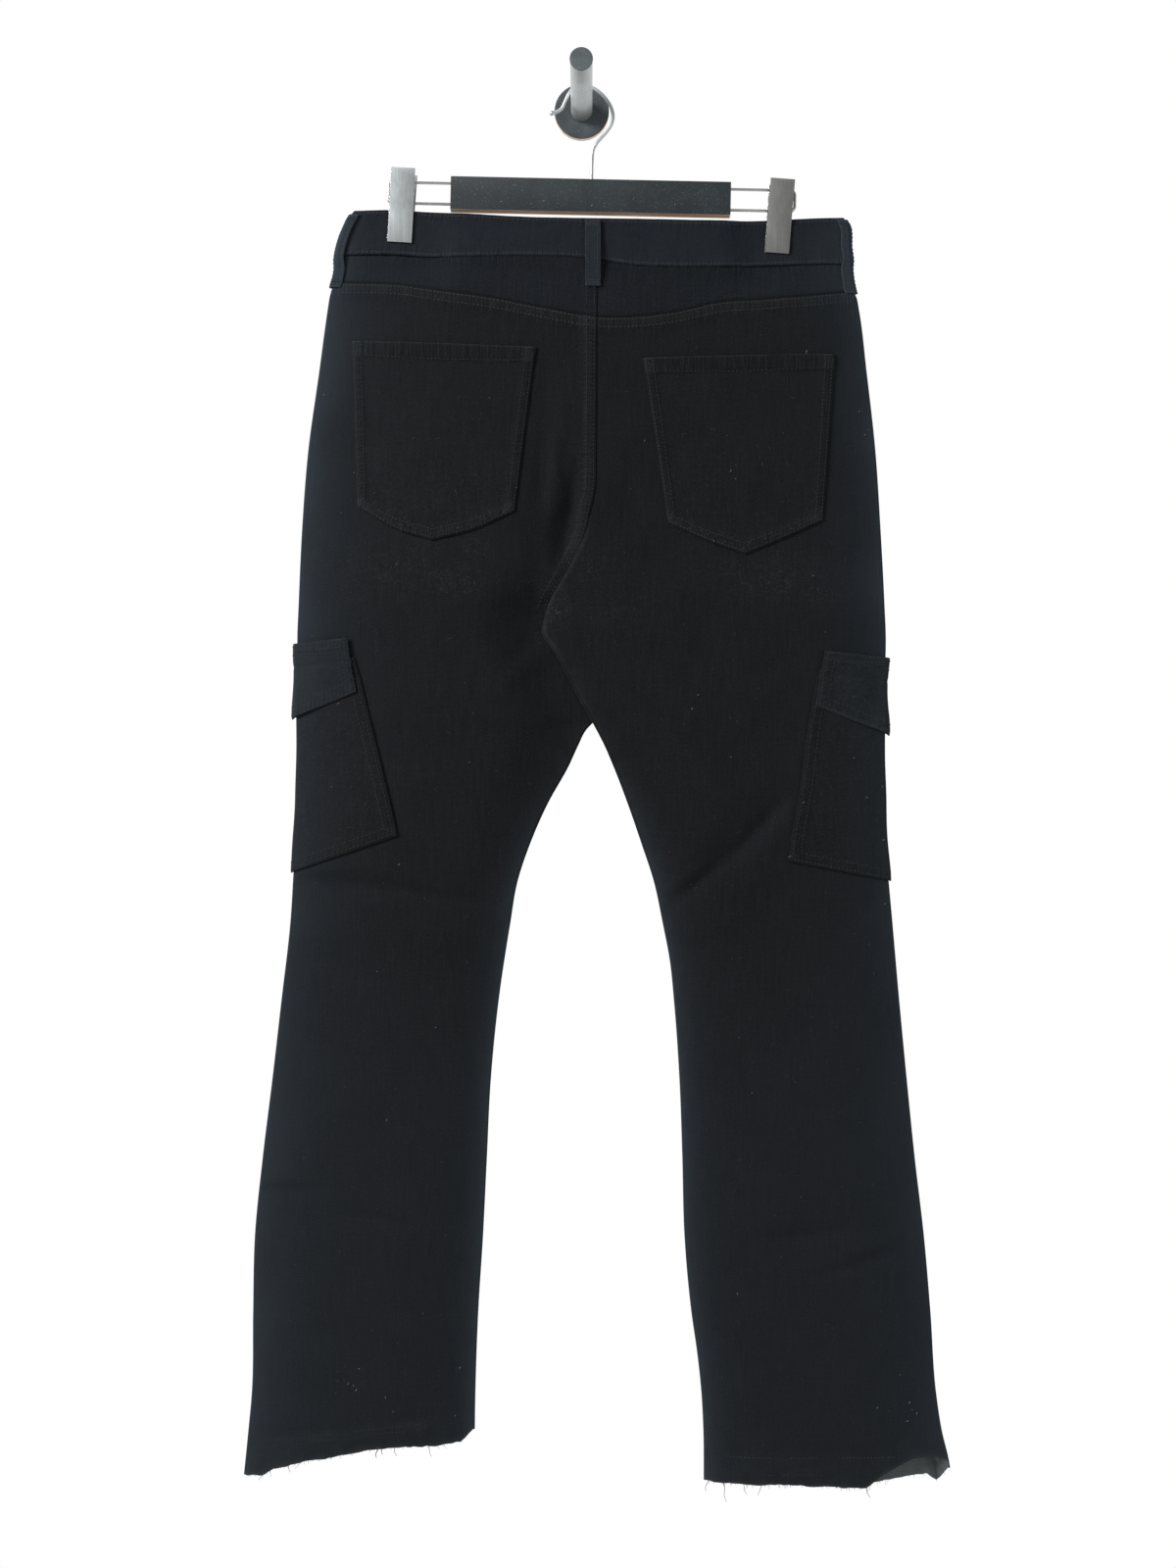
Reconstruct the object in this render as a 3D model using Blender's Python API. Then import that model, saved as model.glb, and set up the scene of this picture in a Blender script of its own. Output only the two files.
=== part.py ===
"""Cargo jeans with raw hems, clipped to a hanger that hangs on a wall peg.

Metres, +Z up. The origin is the centre of the peg plate's back face, the wall is the
plane y = 0, and the jeans hang in front of it with their back turned outwards (-Y).
Left is the wearer's left, which is -X. The tables and the functions on the cloth's
shape work in millimetres, and mesh points become metres in to_mesh().

The cloth: each half of the jeans is a flattened tube. A face lies at a distance from the
jeans' middle plane, which face_depth() gives for any place on it, and each sewn piece is
a sheet of points on that face, given its thickness by a Solidify modifier.
"""

import math

import bmesh
import bpy
import numpy as np
from mathutils import Matrix, Vector

MM = 0.001

# --- driving sizes, in millimetres -------------------------------------------------------
JEANS_PLANE_Y = -32.0  # the jeans' middle plane, in front of the wall
CLOTH = 1.4  # thickness of one layer of denim
BAND = 2.6  # the waistband is two layers
PATCH = 1.2  # pockets and flaps
LOOP = 1.8  # a belt loop is folded in three
SEAM_GAP = 0.3
PATCH_GAP = 0.55  # a pocket's clearance over its panel
PRESSED = (CLOTH + 0.4) / 2  # middle plane to cloth, where two layers are pressed together
BAND_PRESSED = 1.6  # the same in the thicker waistband

CROTCH_Z = -434.0
CROSS_TOP_Z, CROSS_END_Z = -428.0, -436.0  # the hidden layers cross over between these
SPLIT_Z = -513.4  # the legs part here
UNTUCKED_Z = -600.0  # from here down the legs lie in one plane
LANE = 2 * PRESSED  # one leg lies this far in front of the other where they overlap
BODY_ROUND, LEG_ROUND = 4, 3  # powers of the flattened sections

HEM_FADE_Z = -1040.0  # the rows begin to follow the hem's line here

# The outer edges of the cloth, seen from behind: height, left edge, right edge.
OUTLINE = (
    (-90, -186, 209),
    (-97, -192, 217),
    (-104, -196, 222),
    (-123, -203, 223),
    (-142, -205, 225.5),
    (-168, -208.5, 228),
    (-226, -216.5, 234.5),
    (-291, -225.5, 242),
    (-355, -230.5, 246),
    (-420, -233.5, 249),
    (-460, -233.5, 248.5),
    (-520, -232.5, 247.5),
    (-585, -233, 247.5),
    (-635, -236.5, 250.5),
    (-680, -240, 255.5),
    (-744, -247.5, 261.5),
    (-809, -255, 267),
    (-874, -263, 274),
    (-939, -269.5, 281.5),
    (-1003, -271, 286.5),
    (-1068, -272, 291),
    (-1101, -275, 295.5),
    (-1126, -277.5, 302),
    (-1150, -280, 304),
)
# Back seam, crotch and right inseam in one line: height, x.
BACK_SEAM_AND_RIGHT_INSEAM = (
    (-90, 12.4),
    (-179, 12.4),
    (-291, 11.8),
    (-325, 11),
    (-343, 7),
    (-363, 2),
    (-378, -5.2),
    (-397.5, -15.8),
    (-412, -24.7),
    (-430, -31),
    (-441, -31.2),
    (-457.5, -20.6),
    (-480, -8.5),
    (-500, 2.1),
    (SPLIT_Z, 9.6),
    (-534, 20),
    (-550, 26.4),
    (-582, 38.5),
    (-615, 50),
    (-647, 60.4),
    (-680, 67),
    (-712, 73),
    (-744, 76.6),
    (-809, 81.4),
    (-874, 84),
    (-939, 85.5),
    (-1003, 91.2),
    (-1036, 96),
    (-1068, 99.3),
    (-1101, 101),
    (-1150, 101.5),
)
# Front seam, crotch and left inseam in one line: height, x.
FRONT_SEAM_AND_LEFT_INSEAM = (
    (-90, 11.5),
    (-330, 12),
    (-385, 14.5),
    (-420, 19.5),
    (-441, 21),
    (-460, 20.5),
    (-485, 17),
    (-503, 13),
    (SPLIT_Z, 9.2),
    (-520, 3),
    (-534, -4.4),
    (-550, -11.7),
    (-582, -29.5),
    (-615, -44),
    (-647, -54.6),
    (-680, -60.3),
    (-744, -70),
    (-809, -76.5),
    (-874, -79.8),
    (-939, -83),
    (-1003, -87),
    (-1068, -89.3),
    (-1150, -90),
)
# Middle plane to cloth at the fullest place of each height: height, depth.
FULLNESS = (
    (-90, 7),
    (-130, 8.5),
    (-190, 12),
    (-280, 13),
    (-380, 11.5),
    (-450, 10.5),
    (-560, 10),
    (-700, 9),
    (-850, 9),
    (-1000, 9.5),
    (-1150, 10.5),
)
# Seam and edge lines across the jeans: x, height.
BAND_UPPER = ((-204, -92), (-160, -92), (-80, -95), (5, -98), (123, -99.5), (151, -99.5), (212, -95.5))
BAND_LOWER = (
    (-204, -128), (-156, -126.6), (-124, -129), (-90, -129.2), (-47, -128), (1, -130),
    (43, -136.5), (90, -138), (152, -136), (224, -137),
)
YOKE_SEAM = (
    (-210, -152), (-155, -153), (-113, -158.5), (-70, -164), (-31, -171.5),
    (12.4, -178.6), (59, -177), (87, -173), (109, -168), (152, -165), (228, -158.5),
)
FRONT_TOP = ((-206, -130), (-100, -133), (12, -137), (100, -137), (226, -137))
HEM = {
    ("left", "back"): (
        (-280, -1137), (-263, -1135.4), (-256, -1131.4), (-233, -1125), (-203, -1120),
        (-165, -1113.6), (-120, -1112.3), (-99, -1106.5), (-89, -1098),
    ),
    ("right", "back"): (
        (100, -1139.5), (141, -1144.3), (188, -1145.2), (237, -1147), (245, -1139.5),
        (286, -1124), (304, -1125),
    ),
    ("left", "front"): (
        (-280, -1134), (-256, -1129), (-203, -1117), (-165, -1111), (-120, -1109.5), (-89, -1096),
    ),
    ("right", "front"): (
        (100, -1137), (188, -1142), (237, -1144), (245, -1141), (286, -1133.4),
        (294.5, -1138), (304, -1126),
    ),
}
# The largest folds: piece, from x, z, to x, z, half-width, height out of the cloth.
FOLDS = (
    ("left", "back", -28, -330, -38, -425, 15, -2.6),
    ("left", "back", -62, -360, -70, -440, 17, 1.8),
    ("right", "back", 160, -578, 70, -668, 17, -2.4),
    ("right", "back", 190, -600, 110, -672, 18, 1.6),
    ("left", "back", -232, -645, -75, -664, 17, -2.4),
    ("left", "back", -215, -672, -95, -694, 18, 1.6),
    ("left", "back", -262, -902, -190, -920, 18, -1.8),
    ("right", "back", 155, -938, 268, -926, 18, -1.8),
    ("left", "front", -225, -640, -80, -668, 18, -2.2),
    ("right", "front", 95, -652, 225, -630, 18, -2.2),
    ("left", "front", -30, -390, -120, -450, 18, -2.0),
    ("right", "front", 50, -395, 130, -455, 18, -2.0),
)
# The rows of points down a leg piece, closer together at the crotch and knee.
ROW_HEIGHTS = (
    -180, -202, -226, -250, -275, -300, -322, -344, -364, -382, -398, -410, -420, -428, -436,
    -445, -458, -474, -492, -513, -532, -555, -580, -605, -630, -655, -680, -710, -745, -785,
    -830, -875, -905, -935, -975, -1015, -1050, -1080, -1105, -1130,
)
# The columns across a leg piece, from its second one, at the hiding edge, to the side seam.
COLUMN_SHARES = (0, 0.06, 0.13, 0.22, 0.34, 0.48, 0.62, 0.76, 0.89, 1)
EDGE_COLUMN = 2.0  # the first two columns are at least this far apart

# Front scoop pockets: width at the waistband, depth at the side seam, and the heights of
# its rows as shares of the depth.
SCOOP_TOP_Z, SCOOP_WIDTH, SCOOP_DEPTH = -137.0, 92.0, 75.0
SCOOP_SHARES = (0, 0.17, 0.34, 0.51, 0.66, 0.78, 0.88, 0.95, 1)
FACING_RECESS = 0.8

# Back pockets, from behind: top left, top right, bottom right, point, bottom left.
BACK_POCKETS = {
    "left": ((-189, -201), (-37.6, -205.5), (-55.5, -340), (-123.5, -362.7), (-185, -334)),
    "right": ((52.3, -212.8), (207.8, -210.4), (199, -349.7), (135.7, -375.6), (72.5, -350.5)),
}
# Cargo pockets, folded round the side. An edge is a run of points from top to bottom: how
# far from the side fold, and height. At the fold are the top and bottom heights there.
CARGO = {
    "left": {
        "edge": ((48, -462), (59, -510), (72, -560), (84, -608)), "at_fold": (-468, -637),
        "flap_edge": ((45, -445.3), (50, -490.7)), "flap_at_fold": (-451.5, -510), "snap": (31, -476),
    },
    "right": {
        "edge": ((53, -472), (60, -520), (68, -575), (79, -627)), "at_fold": (-482, -645),
        "flap_edge": ((50, -456.6), (56, -502)), "flap_at_fold": (-463.5, -522), "snap": (29, -488),
    },
}
CARGO_OUT = CLOTH / 2 + PATCH_GAP + PATCH / 2
FLAP_OUT = CARGO_OUT + PATCH + 0.45
SNAP_THICK, SNAP_RADIUS, SNAP_BULGE, SNAP_SPREAD = 0.8, 5.0, 1.8, 14.0

BELT_LOOP_WIDTH = 12.5
LOOP_OUT = 0.45  # loops clear the waistband by this
LOOP_BOW = 1.6

FLY_TOP_Z, FLY_BOTTOM_Z = -139.0, -300.0
BAND_OVERLAP, BAND_UNDERLAP = 18.0, 22.0
BUTTON_RADIUS, BUTTON_THICK = 8.5, 3.2

# --- hanger and peg, in millimetres ------------------------------------------------------
HANGER_TILT = math.radians(1.2)  # the right end hangs lower
BAR_CENTRE = (7.5, JEANS_PLANE_Y, -79.0)
BAR_SIZE = (231.0, 10.0, 27.0)
WIRE_RADIUS, BORE_RADIUS, BORE_DEPTH = 1.2, 1.5, 12.0
WIRE_RUN_Z = (7.0, -10.2)  # the two runs of each wire loop, above and below the bar's middle
WIRE_BEND = 4.0
HOOK_BORE_X = 0.6  # from the bar's middle
WIRE_ENDS_X = {"left": -160.8, "right": 177.6}
HOOK_WIRE_RADIUS = 1.5
HOOK_CENTRE, HOOK_BEND = (3.3, -10.6), 21.9

CLIPS = {"left": (-148.4, -87.0), "right": (163.2, -96.0)}  # x and z of each clip's middle
CLIP_LEAN = math.radians(4.3)
CLIP_WIDTH, CLIP_HEIGHT, JAW_THICK = 20.0, 61.5, 1.2
JAW_GRIP_Y = math.hypot(PRESSED, BAND_PRESSED) + BAND / 2 + 0.35 + JAW_THICK / 2
JAW_OPEN_Y = 8.6  # the finger ends stand this far from the middle plane
EAR_X, EAR_THICK = {"outer": 7.9, "inner": 6.3}, 1.0
EAR_PAST_PIN = 3.4
PIN_RADIUS, PIN_REACH, SPRING_RADIUS, SPRING_REACH = 1.4, 9.4, 2.9, 5.0
PINCH_WIDTH, PINCH_HEIGHT, PINCH_Z = 40.0, 50.0, -104.0

PEG_PLATE_RADIUS, PEG_PLATE_THICK = 23.0, 6.0
PEG_RADIUS, PEG_END_Y = 9.0, -100.0
CAP_RADIUS, CAP_THICK = 9.4, 8.0


# --- helpers -----------------------------------------------------------------------------
def smoothstep(value, low, high):
    """0 at low, 1 at high, with no slope at either."""
    t = min(max((value - low) / (high - low), 0.0), 1.0)
    return t * t * (3 - 2 * t)


def mix(a, b, share):
    return a + (b - a) * share


def curve_through(table, column=1):
    """A smooth function through one column of a table, over its first column."""
    rows = sorted(table)
    at = np.array([row[0] for row in rows], float)
    value = np.array([row[column] for row in rows], float)
    slope = np.gradient(value, at)

    def read(place):
        place = min(max(place, at[0]), at[-1])
        i = min(max(int(np.searchsorted(at, place)) - 1, 0), len(at) - 2)
        span = at[i + 1] - at[i]
        t = (place - at[i]) / span
        return float(
            (2 * t**3 - 3 * t**2 + 1) * value[i]
            + (t**3 - 2 * t**2 + t) * span * slope[i]
            + (3 * t**2 - 2 * t**3) * value[i + 1]
            + (t**3 - t**2) * span * slope[i + 1]
        )

    return read


def line_through(table):
    """Straight runs between a table's points, for lines with corners."""
    rows = sorted(table)
    at, value = [row[0] for row in rows], [row[1] for row in rows]
    return lambda place: float(np.interp(place, at, value))


outer_edge = {"left": curve_through(OUTLINE, 1), "right": curve_through(OUTLINE, 2)}
# Each side's leading seam line: it bounds the face that lies on top at the crotch.
seam_line = {
    "left": curve_through(FRONT_SEAM_AND_LEFT_INSEAM),
    "right": curve_through(BACK_SEAM_AND_RIGHT_INSEAM),
}
fullness = curve_through(FULLNESS)
band_upper, band_lower = curve_through(BAND_UPPER), curve_through(BAND_LOWER)
yoke_seam, front_top = curve_through(YOKE_SEAM), curve_through(FRONT_TOP)
hem_line = {piece: line_through(table) for piece, table in HEM.items()}
OTHER = {"left": "right", "right": "left"}
OUTWARD = {"back": -1, "front": 1}  # the direction of y away from the middle plane
SIDEWAYS = {"left": -1, "right": 1}  # the direction of x away from the middle


# --- the cloth's shape -------------------------------------------------------------------
def leads(side, face):
    """Whether this face lies on top where the legs overlap below the crotch."""
    return (side, face) in (("right", "back"), ("left", "front"))


def inner_edge(side, face, z):
    """x of a piece's seam on its inner side: the middle seam, then the inseam."""
    if leads(side, face):
        return seam_line[side](z) + SIDEWAYS[side] * SEAM_GAP / 2
    crossed = smoothstep(-z, -CROSS_TOP_Z, -CROSS_END_Z)
    middle_seam = seam_line[OTHER[side]](z) + SIDEWAYS[side] * SEAM_GAP / 2
    return mix(middle_seam, seam_line[side](z), crossed)


def clip_pinch(x, z):
    """How far the clips press the two faces together at a place, from 0 to 1."""
    near = sum(math.exp(-(((x - clip_x) / PINCH_WIDTH) ** 4)) for clip_x, _ in CLIPS.values())
    return min(near, 1.0) * math.exp(-(((z - PINCH_Z) / PINCH_HEIGHT) ** 4))


def body_depth(x, z):
    left, right = outer_edge["left"](z), outer_edge["right"](z)
    across = min(max((x - left) / (right - left), 0.0), 1.0)
    full = 1 - abs(2 * across - 1) ** BODY_ROUND
    return PRESSED + (fullness(z) - PRESSED) * full * (1 - clip_pinch(x, z))


def leg_depth(side, x, z):
    inner, outer = seam_line[side](min(z, CROTCH_Z)), outer_edge[side](z)
    across = min(max((x - inner) / (outer - inner), 0.0), 1.0)
    return PRESSED + (fullness(z) - PRESSED) * (1 - abs(2 * across - 1) ** LEG_ROUND)


def overlapping(z):
    """1 where one leg lies in front of the other, fading to 0 below the split."""
    return smoothstep(z, UNTUCKED_Z, SPLIT_Z)


def leading_depth(side, x, z):
    inner = seam_line[side](min(z, CROTCH_Z))
    near_edge = 1 - smoothstep(abs(x - inner), 0, 60)
    return leg_depth(side, x, z) + LANE * near_edge * overlapping(z)


def tucked_depth(side, x, z):
    """The face that slips behind the other leg, past that leg's edge."""
    depth = leg_depth(side, x, z)
    hiding = OTHER[side] if z > SPLIT_Z else side
    edge = seam_line[hiding](z)
    under = smoothstep(SIDEWAYS[side] * (edge - x), -42, -2)
    joined = leading_depth(OTHER[side], edge, z)
    behind = mix(joined, -PRESSED, smoothstep(-z, 400, -CROSS_TOP_Z - 2))
    return depth - overlapping(z) * under * (depth - behind)


def fold_height(side, face, x, z):
    """How far the largest folds stand out of a face at a place."""
    height = 0.0
    for fold_side, fold_face, x0, z0, x1, z1, width, rise in FOLDS:
        if (fold_side, fold_face) != (side, face):
            continue
        along = ((x - x0) * (x1 - x0) + (z - z0) * (z1 - z0)) / ((x1 - x0) ** 2 + (z1 - z0) ** 2)
        t = min(max(along, 0.0), 1.0)
        away = math.hypot(x - mix(x0, x1, t), z - mix(z0, z1, t))
        height += rise * math.exp(-((away / width) ** 2)) * (0.35 + 0.65 * math.sin(math.pi * t))
    return height


def face_depth(side, face, x, z):
    """Middle plane to the middle of the cloth, at a place on one face of one side."""
    legs = leading_depth(side, x, z) if leads(side, face) else tucked_depth(side, x, z)
    depth = mix(body_depth(x, z), legs, smoothstep(-z, 330, -CROTCH_Z))
    inner, outer = seam_line[side](z), outer_edge[side](z)
    free = smoothstep(min(abs(x - outer), abs(x - inner)), 4, 30)
    return depth + free * fold_height(side, face, x, z)


def band_depth(side, face, x, z):
    return math.hypot(face_depth(side, face, x, z), BAND_PRESSED)


def on_face(side, face, x, z, out=0.0):
    return (x, JEANS_PLANE_Y + OUTWARD[face] * (face_depth(side, face, x, z) + out), z)


def round_side(side, z, along, depth=face_depth, out=0.0):
    """A place round the side fold: along is the distance from it, over 0 on the back."""
    face = "back" if along > 0 else "front"
    edge = outer_edge[side](z)
    radius = depth(side, face, edge, z) + out
    quarter = radius * math.pi / 2
    if abs(along) <= quarter:
        angle = along / radius
        x, y = edge + SIDEWAYS[side] * radius * math.cos(angle), -radius * math.sin(angle)
        return (x, JEANS_PLANE_Y + y, z)
    x = edge - SIDEWAYS[side] * (abs(along) - quarter)
    return (x, JEANS_PLANE_Y + OUTWARD[face] * (depth(side, face, x, z) + out), z)


# --- making objects ----------------------------------------------------------------------
def material(name, colour, roughness, metallic=0.0):
    made = bpy.data.materials.get(name) or bpy.data.materials.new(name)
    made.use_nodes = True
    shader = made.node_tree.nodes["Principled BSDF"]
    shader.inputs["Base Color"].default_value = (*colour, 1)
    shader.inputs["Roughness"].default_value = roughness
    shader.inputs["Metallic"].default_value = metallic
    return made


def denim():
    return material("black_denim", (0.013, 0.015, 0.018), 0.92)


def brushed_metal():
    return material("brushed_metal", (0.42, 0.42, 0.41), 0.35, 1.0)


def chrome():
    return material("polished_metal", (0.62, 0.62, 0.62), 0.16, 1.0)


def black_paint():
    return material("black_paint", (0.016, 0.018, 0.02), 0.55)


def black_plastic():
    return material("black_plastic", (0.03, 0.033, 0.036), 0.45)


def add_object(name, mesh, looks):
    made = bpy.data.objects.new(name, mesh)
    mesh.materials.append(looks)
    bpy.context.scene.collection.objects.link(made)
    return made


def to_mesh(name, points, faces):
    """A mesh from points in millimetres."""
    mesh = bpy.data.meshes.new(name)
    mesh.from_pydata([Vector(p) * MM for p in points], [], faces)
    mesh.update()
    return mesh


def sheet(name, grid, thickness, looks=None):
    """A cloth piece from rows of points, with its thickness on both sides of them."""
    rows, columns = len(grid), len(grid[0])
    points = [point for row in grid for point in row]
    faces = [
        (r * columns + c, r * columns + c + 1, (r + 1) * columns + c + 1, (r + 1) * columns + c)
        for r in range(rows - 1)
        for c in range(columns - 1)
    ]
    made = add_object(name, to_mesh(name, points, faces), looks or denim())
    made.data.shade_smooth()
    wall = made.modifiers.new("wall", "SOLIDIFY")
    wall.thickness = thickness * MM
    wall.offset = 0
    wall.use_quality_normals = True
    return made


def turned(name, profile, looks, sides=32):
    """A closed round solid from (radius, distance) points, turned about its own Z axis."""
    shape = bmesh.new()
    ring = [shape.verts.new((radius * MM, 0, along * MM)) for radius, along in profile]
    edges = [shape.edges.new(pair) for pair in zip(ring, ring[1:], strict=False)]
    bmesh.ops.spin(
        shape, geom=ring + edges, cent=(0, 0, 0), axis=(0, 0, 1),
        angle=math.tau, steps=sides, use_merge=True, use_duplicate=False,
    )
    bmesh.ops.remove_doubles(shape, verts=shape.verts, dist=1e-6)
    bmesh.ops.recalc_face_normals(shape, faces=shape.faces)
    mesh = bpy.data.meshes.new(name)
    shape.to_mesh(mesh)
    shape.free()
    made = add_object(name, mesh, looks)
    mesh.shade_smooth()
    mesh.set_sharp_from_angle(angle=math.radians(40))
    return made


def wire(name, points, radius, looks, parent):
    """A round wire along points in millimetres, in its parent's frame."""
    line = bpy.data.curves.new(name, "CURVE")
    line.dimensions = "3D"
    line.bevel_depth = radius * MM
    line.bevel_resolution = 2
    line.use_fill_caps = True
    spline = line.splines.new("POLY")
    spline.points.add(len(points) - 1)
    for knot, point in zip(spline.points, points, strict=True):
        knot.co = (*(Vector(point) * MM), 1)
    made = bpy.data.objects.new(name, line)
    line.materials.append(looks)
    bpy.context.scene.collection.objects.link(made)
    made.parent = parent
    return made


def box_mesh(name, low, high):
    shape = bmesh.new()
    size = Vector(high) - Vector(low)
    middle = (Vector(high) + Vector(low)) / 2
    place = Matrix.Translation(middle * MM) @ Matrix.Diagonal((*(size * MM), 1))
    bmesh.ops.create_cube(shape, size=1, matrix=place)
    mesh = bpy.data.meshes.new(name)
    shape.to_mesh(mesh)
    shape.free()
    return mesh


def prism_mesh(name, outline, x_low, x_high):
    """A plate parallel to the YZ plane, from its outline's (y, z) points."""
    shape = bmesh.new()
    corners = [shape.verts.new(Vector((x_low, y, z)) * MM) for y, z in outline]
    face = shape.faces.new(corners)
    made = bmesh.ops.extrude_face_region(shape, geom=[face])["geom"]
    moved = [part for part in made if isinstance(part, bmesh.types.BMVert)]
    bmesh.ops.translate(shape, verts=moved, vec=((x_high - x_low) * MM, 0, 0))
    bmesh.ops.recalc_face_normals(shape, faces=shape.faces)
    mesh = bpy.data.meshes.new(name)
    shape.to_mesh(mesh)
    shape.free()
    return mesh


def rod_cutter(name, start, end, radius, parent=None, sides=16):
    """A hidden cylinder between two points, for a Boolean to cut with."""
    start, end = Vector(start) * MM, Vector(end) * MM
    shape = bmesh.new()
    bmesh.ops.create_cone(
        shape, cap_ends=True, segments=sides, radius1=radius * MM, radius2=radius * MM,
        depth=(end - start).length,
    )
    mesh = bpy.data.meshes.new(name)
    shape.to_mesh(mesh)
    shape.free()
    made = bpy.data.objects.new(name, mesh)
    made.location = (start + end) / 2
    made.rotation_mode = "QUATERNION"
    made.rotation_quaternion = (end - start).to_track_quat("Z", "Y")
    return as_helper(made, parent)


def as_helper(made, parent=None):
    made.hide_render = True
    made.display_type = "WIRE"
    made.parent = parent
    bpy.context.scene.collection.objects.link(made)
    return made


def boolean(target, helper, operation):
    step = target.modifiers.new(helper.name, "BOOLEAN")
    step.operation = operation
    step.solver = "EXACT"
    step.object = helper


# --- the jeans' pieces -------------------------------------------------------------------
def columns_at(side, face, z, outer):
    """x of a leg piece's columns at a height, from its inner edge to its outer one."""
    inner, way = inner_edge(side, face, z), SIDEWAYS[side]
    second = inner + way * EDGE_COLUMN
    if not leads(side, face) and z > SPLIT_Z:
        second = seam_line[OTHER[side]](z) + way * EDGE_COLUMN
    return [inner, *(mix(second, outer(z), share) for share in COLUMN_SHARES)]


def leg_row(side, face, outer, height_at, base):
    """One row of points of a leg piece, whose height depends a little on x."""
    row = []
    for column, x in enumerate(columns_at(side, face, base, outer)):
        for _ in range(4):
            z = height_at(x)
            x = columns_at(side, face, z, outer)[column]
        row.append(on_face(side, face, x, z))
    return row


def leg_rows(side, face, heights, top_line, outer):
    """Rows of points of a leg piece, its first row on its top seam and its last on the hem."""
    top, bottom, hem = heights[0], heights[-1], hem_line[side, face]
    grid = []
    for base in heights:
        near_top = smoothstep(base, top - 75, top)
        near_hem = smoothstep(-base, -HEM_FADE_Z, -bottom)

        def height_at(x, base=base, near_top=near_top, near_hem=near_hem):
            return base + (top_line(x) - SEAM_GAP / 2 - top) * near_top + (hem(x) - bottom) * near_hem

        grid.append(leg_row(side, face, outer, height_at, base))
    return grid


scoop_heights = [SCOOP_TOP_Z - SCOOP_DEPTH * share for share in SCOOP_SHARES]
scoop_inset = line_through(
    [(z, SCOOP_WIDTH * (1 - share**2) ** 0.7) for z, share in zip(scoop_heights, SCOOP_SHARES, strict=True)]
)


def scoop_edge(side):
    """The front piece's outer edge: round the pocket opening, then down the side seam."""
    return lambda z: outer_edge[side](z) - SIDEWAYS[side] * scoop_inset(z)


def build_legs():
    front_heights = (*scoop_heights, *(z for z in ROW_HEIGHTS if z < scoop_heights[-1] - 8))
    for side in SIDEWAYS:
        back = leg_rows(side, "back", ROW_HEIGHTS, yoke_seam, outer_edge[side])
        sheet(f"back_panel_{side}", back, CLOTH)
        front = leg_rows(side, "front", front_heights, front_top, scoop_edge(side))
        sheet(f"front_panel_{side}", front, CLOTH)


def build_pocket_facing(side):
    """The hip piece that shows in the front pocket's opening, a little behind its edge."""
    grid = []
    for base in (*scoop_heights[:-1], scoop_heights[-1] + 0.9):
        row = []
        for share in np.linspace(0, 1, 6):
            x = outer_edge[side](base)
            for _ in range(4):
                near_top = smoothstep(base, SCOOP_TOP_Z - 75, SCOOP_TOP_Z)
                z = base + (front_top(x) - SEAM_GAP / 2 - SCOOP_TOP_Z) * near_top
                inset = max(scoop_inset(z - 0.4) - 0.5, 0.8)
                x = outer_edge[side](z) - SIDEWAYS[side] * inset * (1 - share)
            row.append(on_face(side, "front", x, z, -FACING_RECESS * (1 - share)))
        grid.append(row)
    sheet(f"front_pocket_facing_{side}", grid, CLOTH)


def build_yoke(side):
    grid = []
    for down in np.linspace(0, 1, 4):

        def height_at(x, down=down):
            return mix(band_lower(x) - SEAM_GAP / 2, yoke_seam(x) + SEAM_GAP / 2, down)

        grid.append(leg_row(side, "back", outer_edge[side], height_at, -150))
    sheet(f"yoke_{side}", grid, CLOTH)


def band_point(station, level):
    """A point of the waistband. A station is ("front"|"back", x share) or (side, angle)."""
    kind, at = station
    mid_z = mix(-95.5, -132, level)
    if kind in ("front", "back"):
        x = mix(outer_edge["left"](mid_z), outer_edge["right"](mid_z), at)
    else:
        x = outer_edge[kind](mid_z)
    lower = band_lower if kind != "front" else front_top
    z = mix(band_upper(x), lower(x) + SEAM_GAP / 2, level)
    if kind in SIDEWAYS:
        edge = outer_edge[kind](z)
        radius = band_depth(kind, "back", edge, z)
        x = edge + SIDEWAYS[kind] * radius * math.cos(at)
        return (x, JEANS_PLANE_Y - radius * math.sin(at), z)
    x = mix(outer_edge["left"](z), outer_edge["right"](z), at)
    side = "left" if x < seam_line["left"](z) else "right"
    return (x, JEANS_PLANE_Y + OUTWARD[kind] * band_depth(side, kind, x, z), z)


def build_waistband():
    """One strip round the waist, whose left end laps over its right end at the front."""
    centre = seam_line["left"](-110)
    left, right = outer_edge["left"](-115), outer_edge["right"](-115)

    def share(x):
        return (x - left) / (right - left)

    under_end, over_end = share(centre - BAND_UNDERLAP), share(centre + BAND_OVERLAP)
    near_side, far_side, turn = 0.015, 0.985, np.linspace(-math.pi / 2, math.pi / 2, 6)[1:-1]
    underlap = [("front", at) for at in np.linspace(under_end, far_side, 12)]
    stations = [
        *underlap,
        *(("right", angle) for angle in turn),
        *(("back", at) for at in np.linspace(far_side, near_side, 23)),
        *(("left", -angle) for angle in turn),
        *(("front", at) for at in np.linspace(near_side, over_end, 12)),
    ]
    lapped, clear = share(centre + BAND_OVERLAP + 6), share(centre + BAND_OVERLAP + 46)
    grid = []
    for level in np.linspace(0, 1, 4):
        row = [band_point(station, level) for station in stations]
        for i, (_, at) in enumerate(underlap):
            x, y, z = row[i]
            row[i] = (x, y - (BAND + 0.4) * (1 - smoothstep(at, lapped, clear)), z)
        grid.append(row)
    sheet("waistband", grid, BAND)


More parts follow.
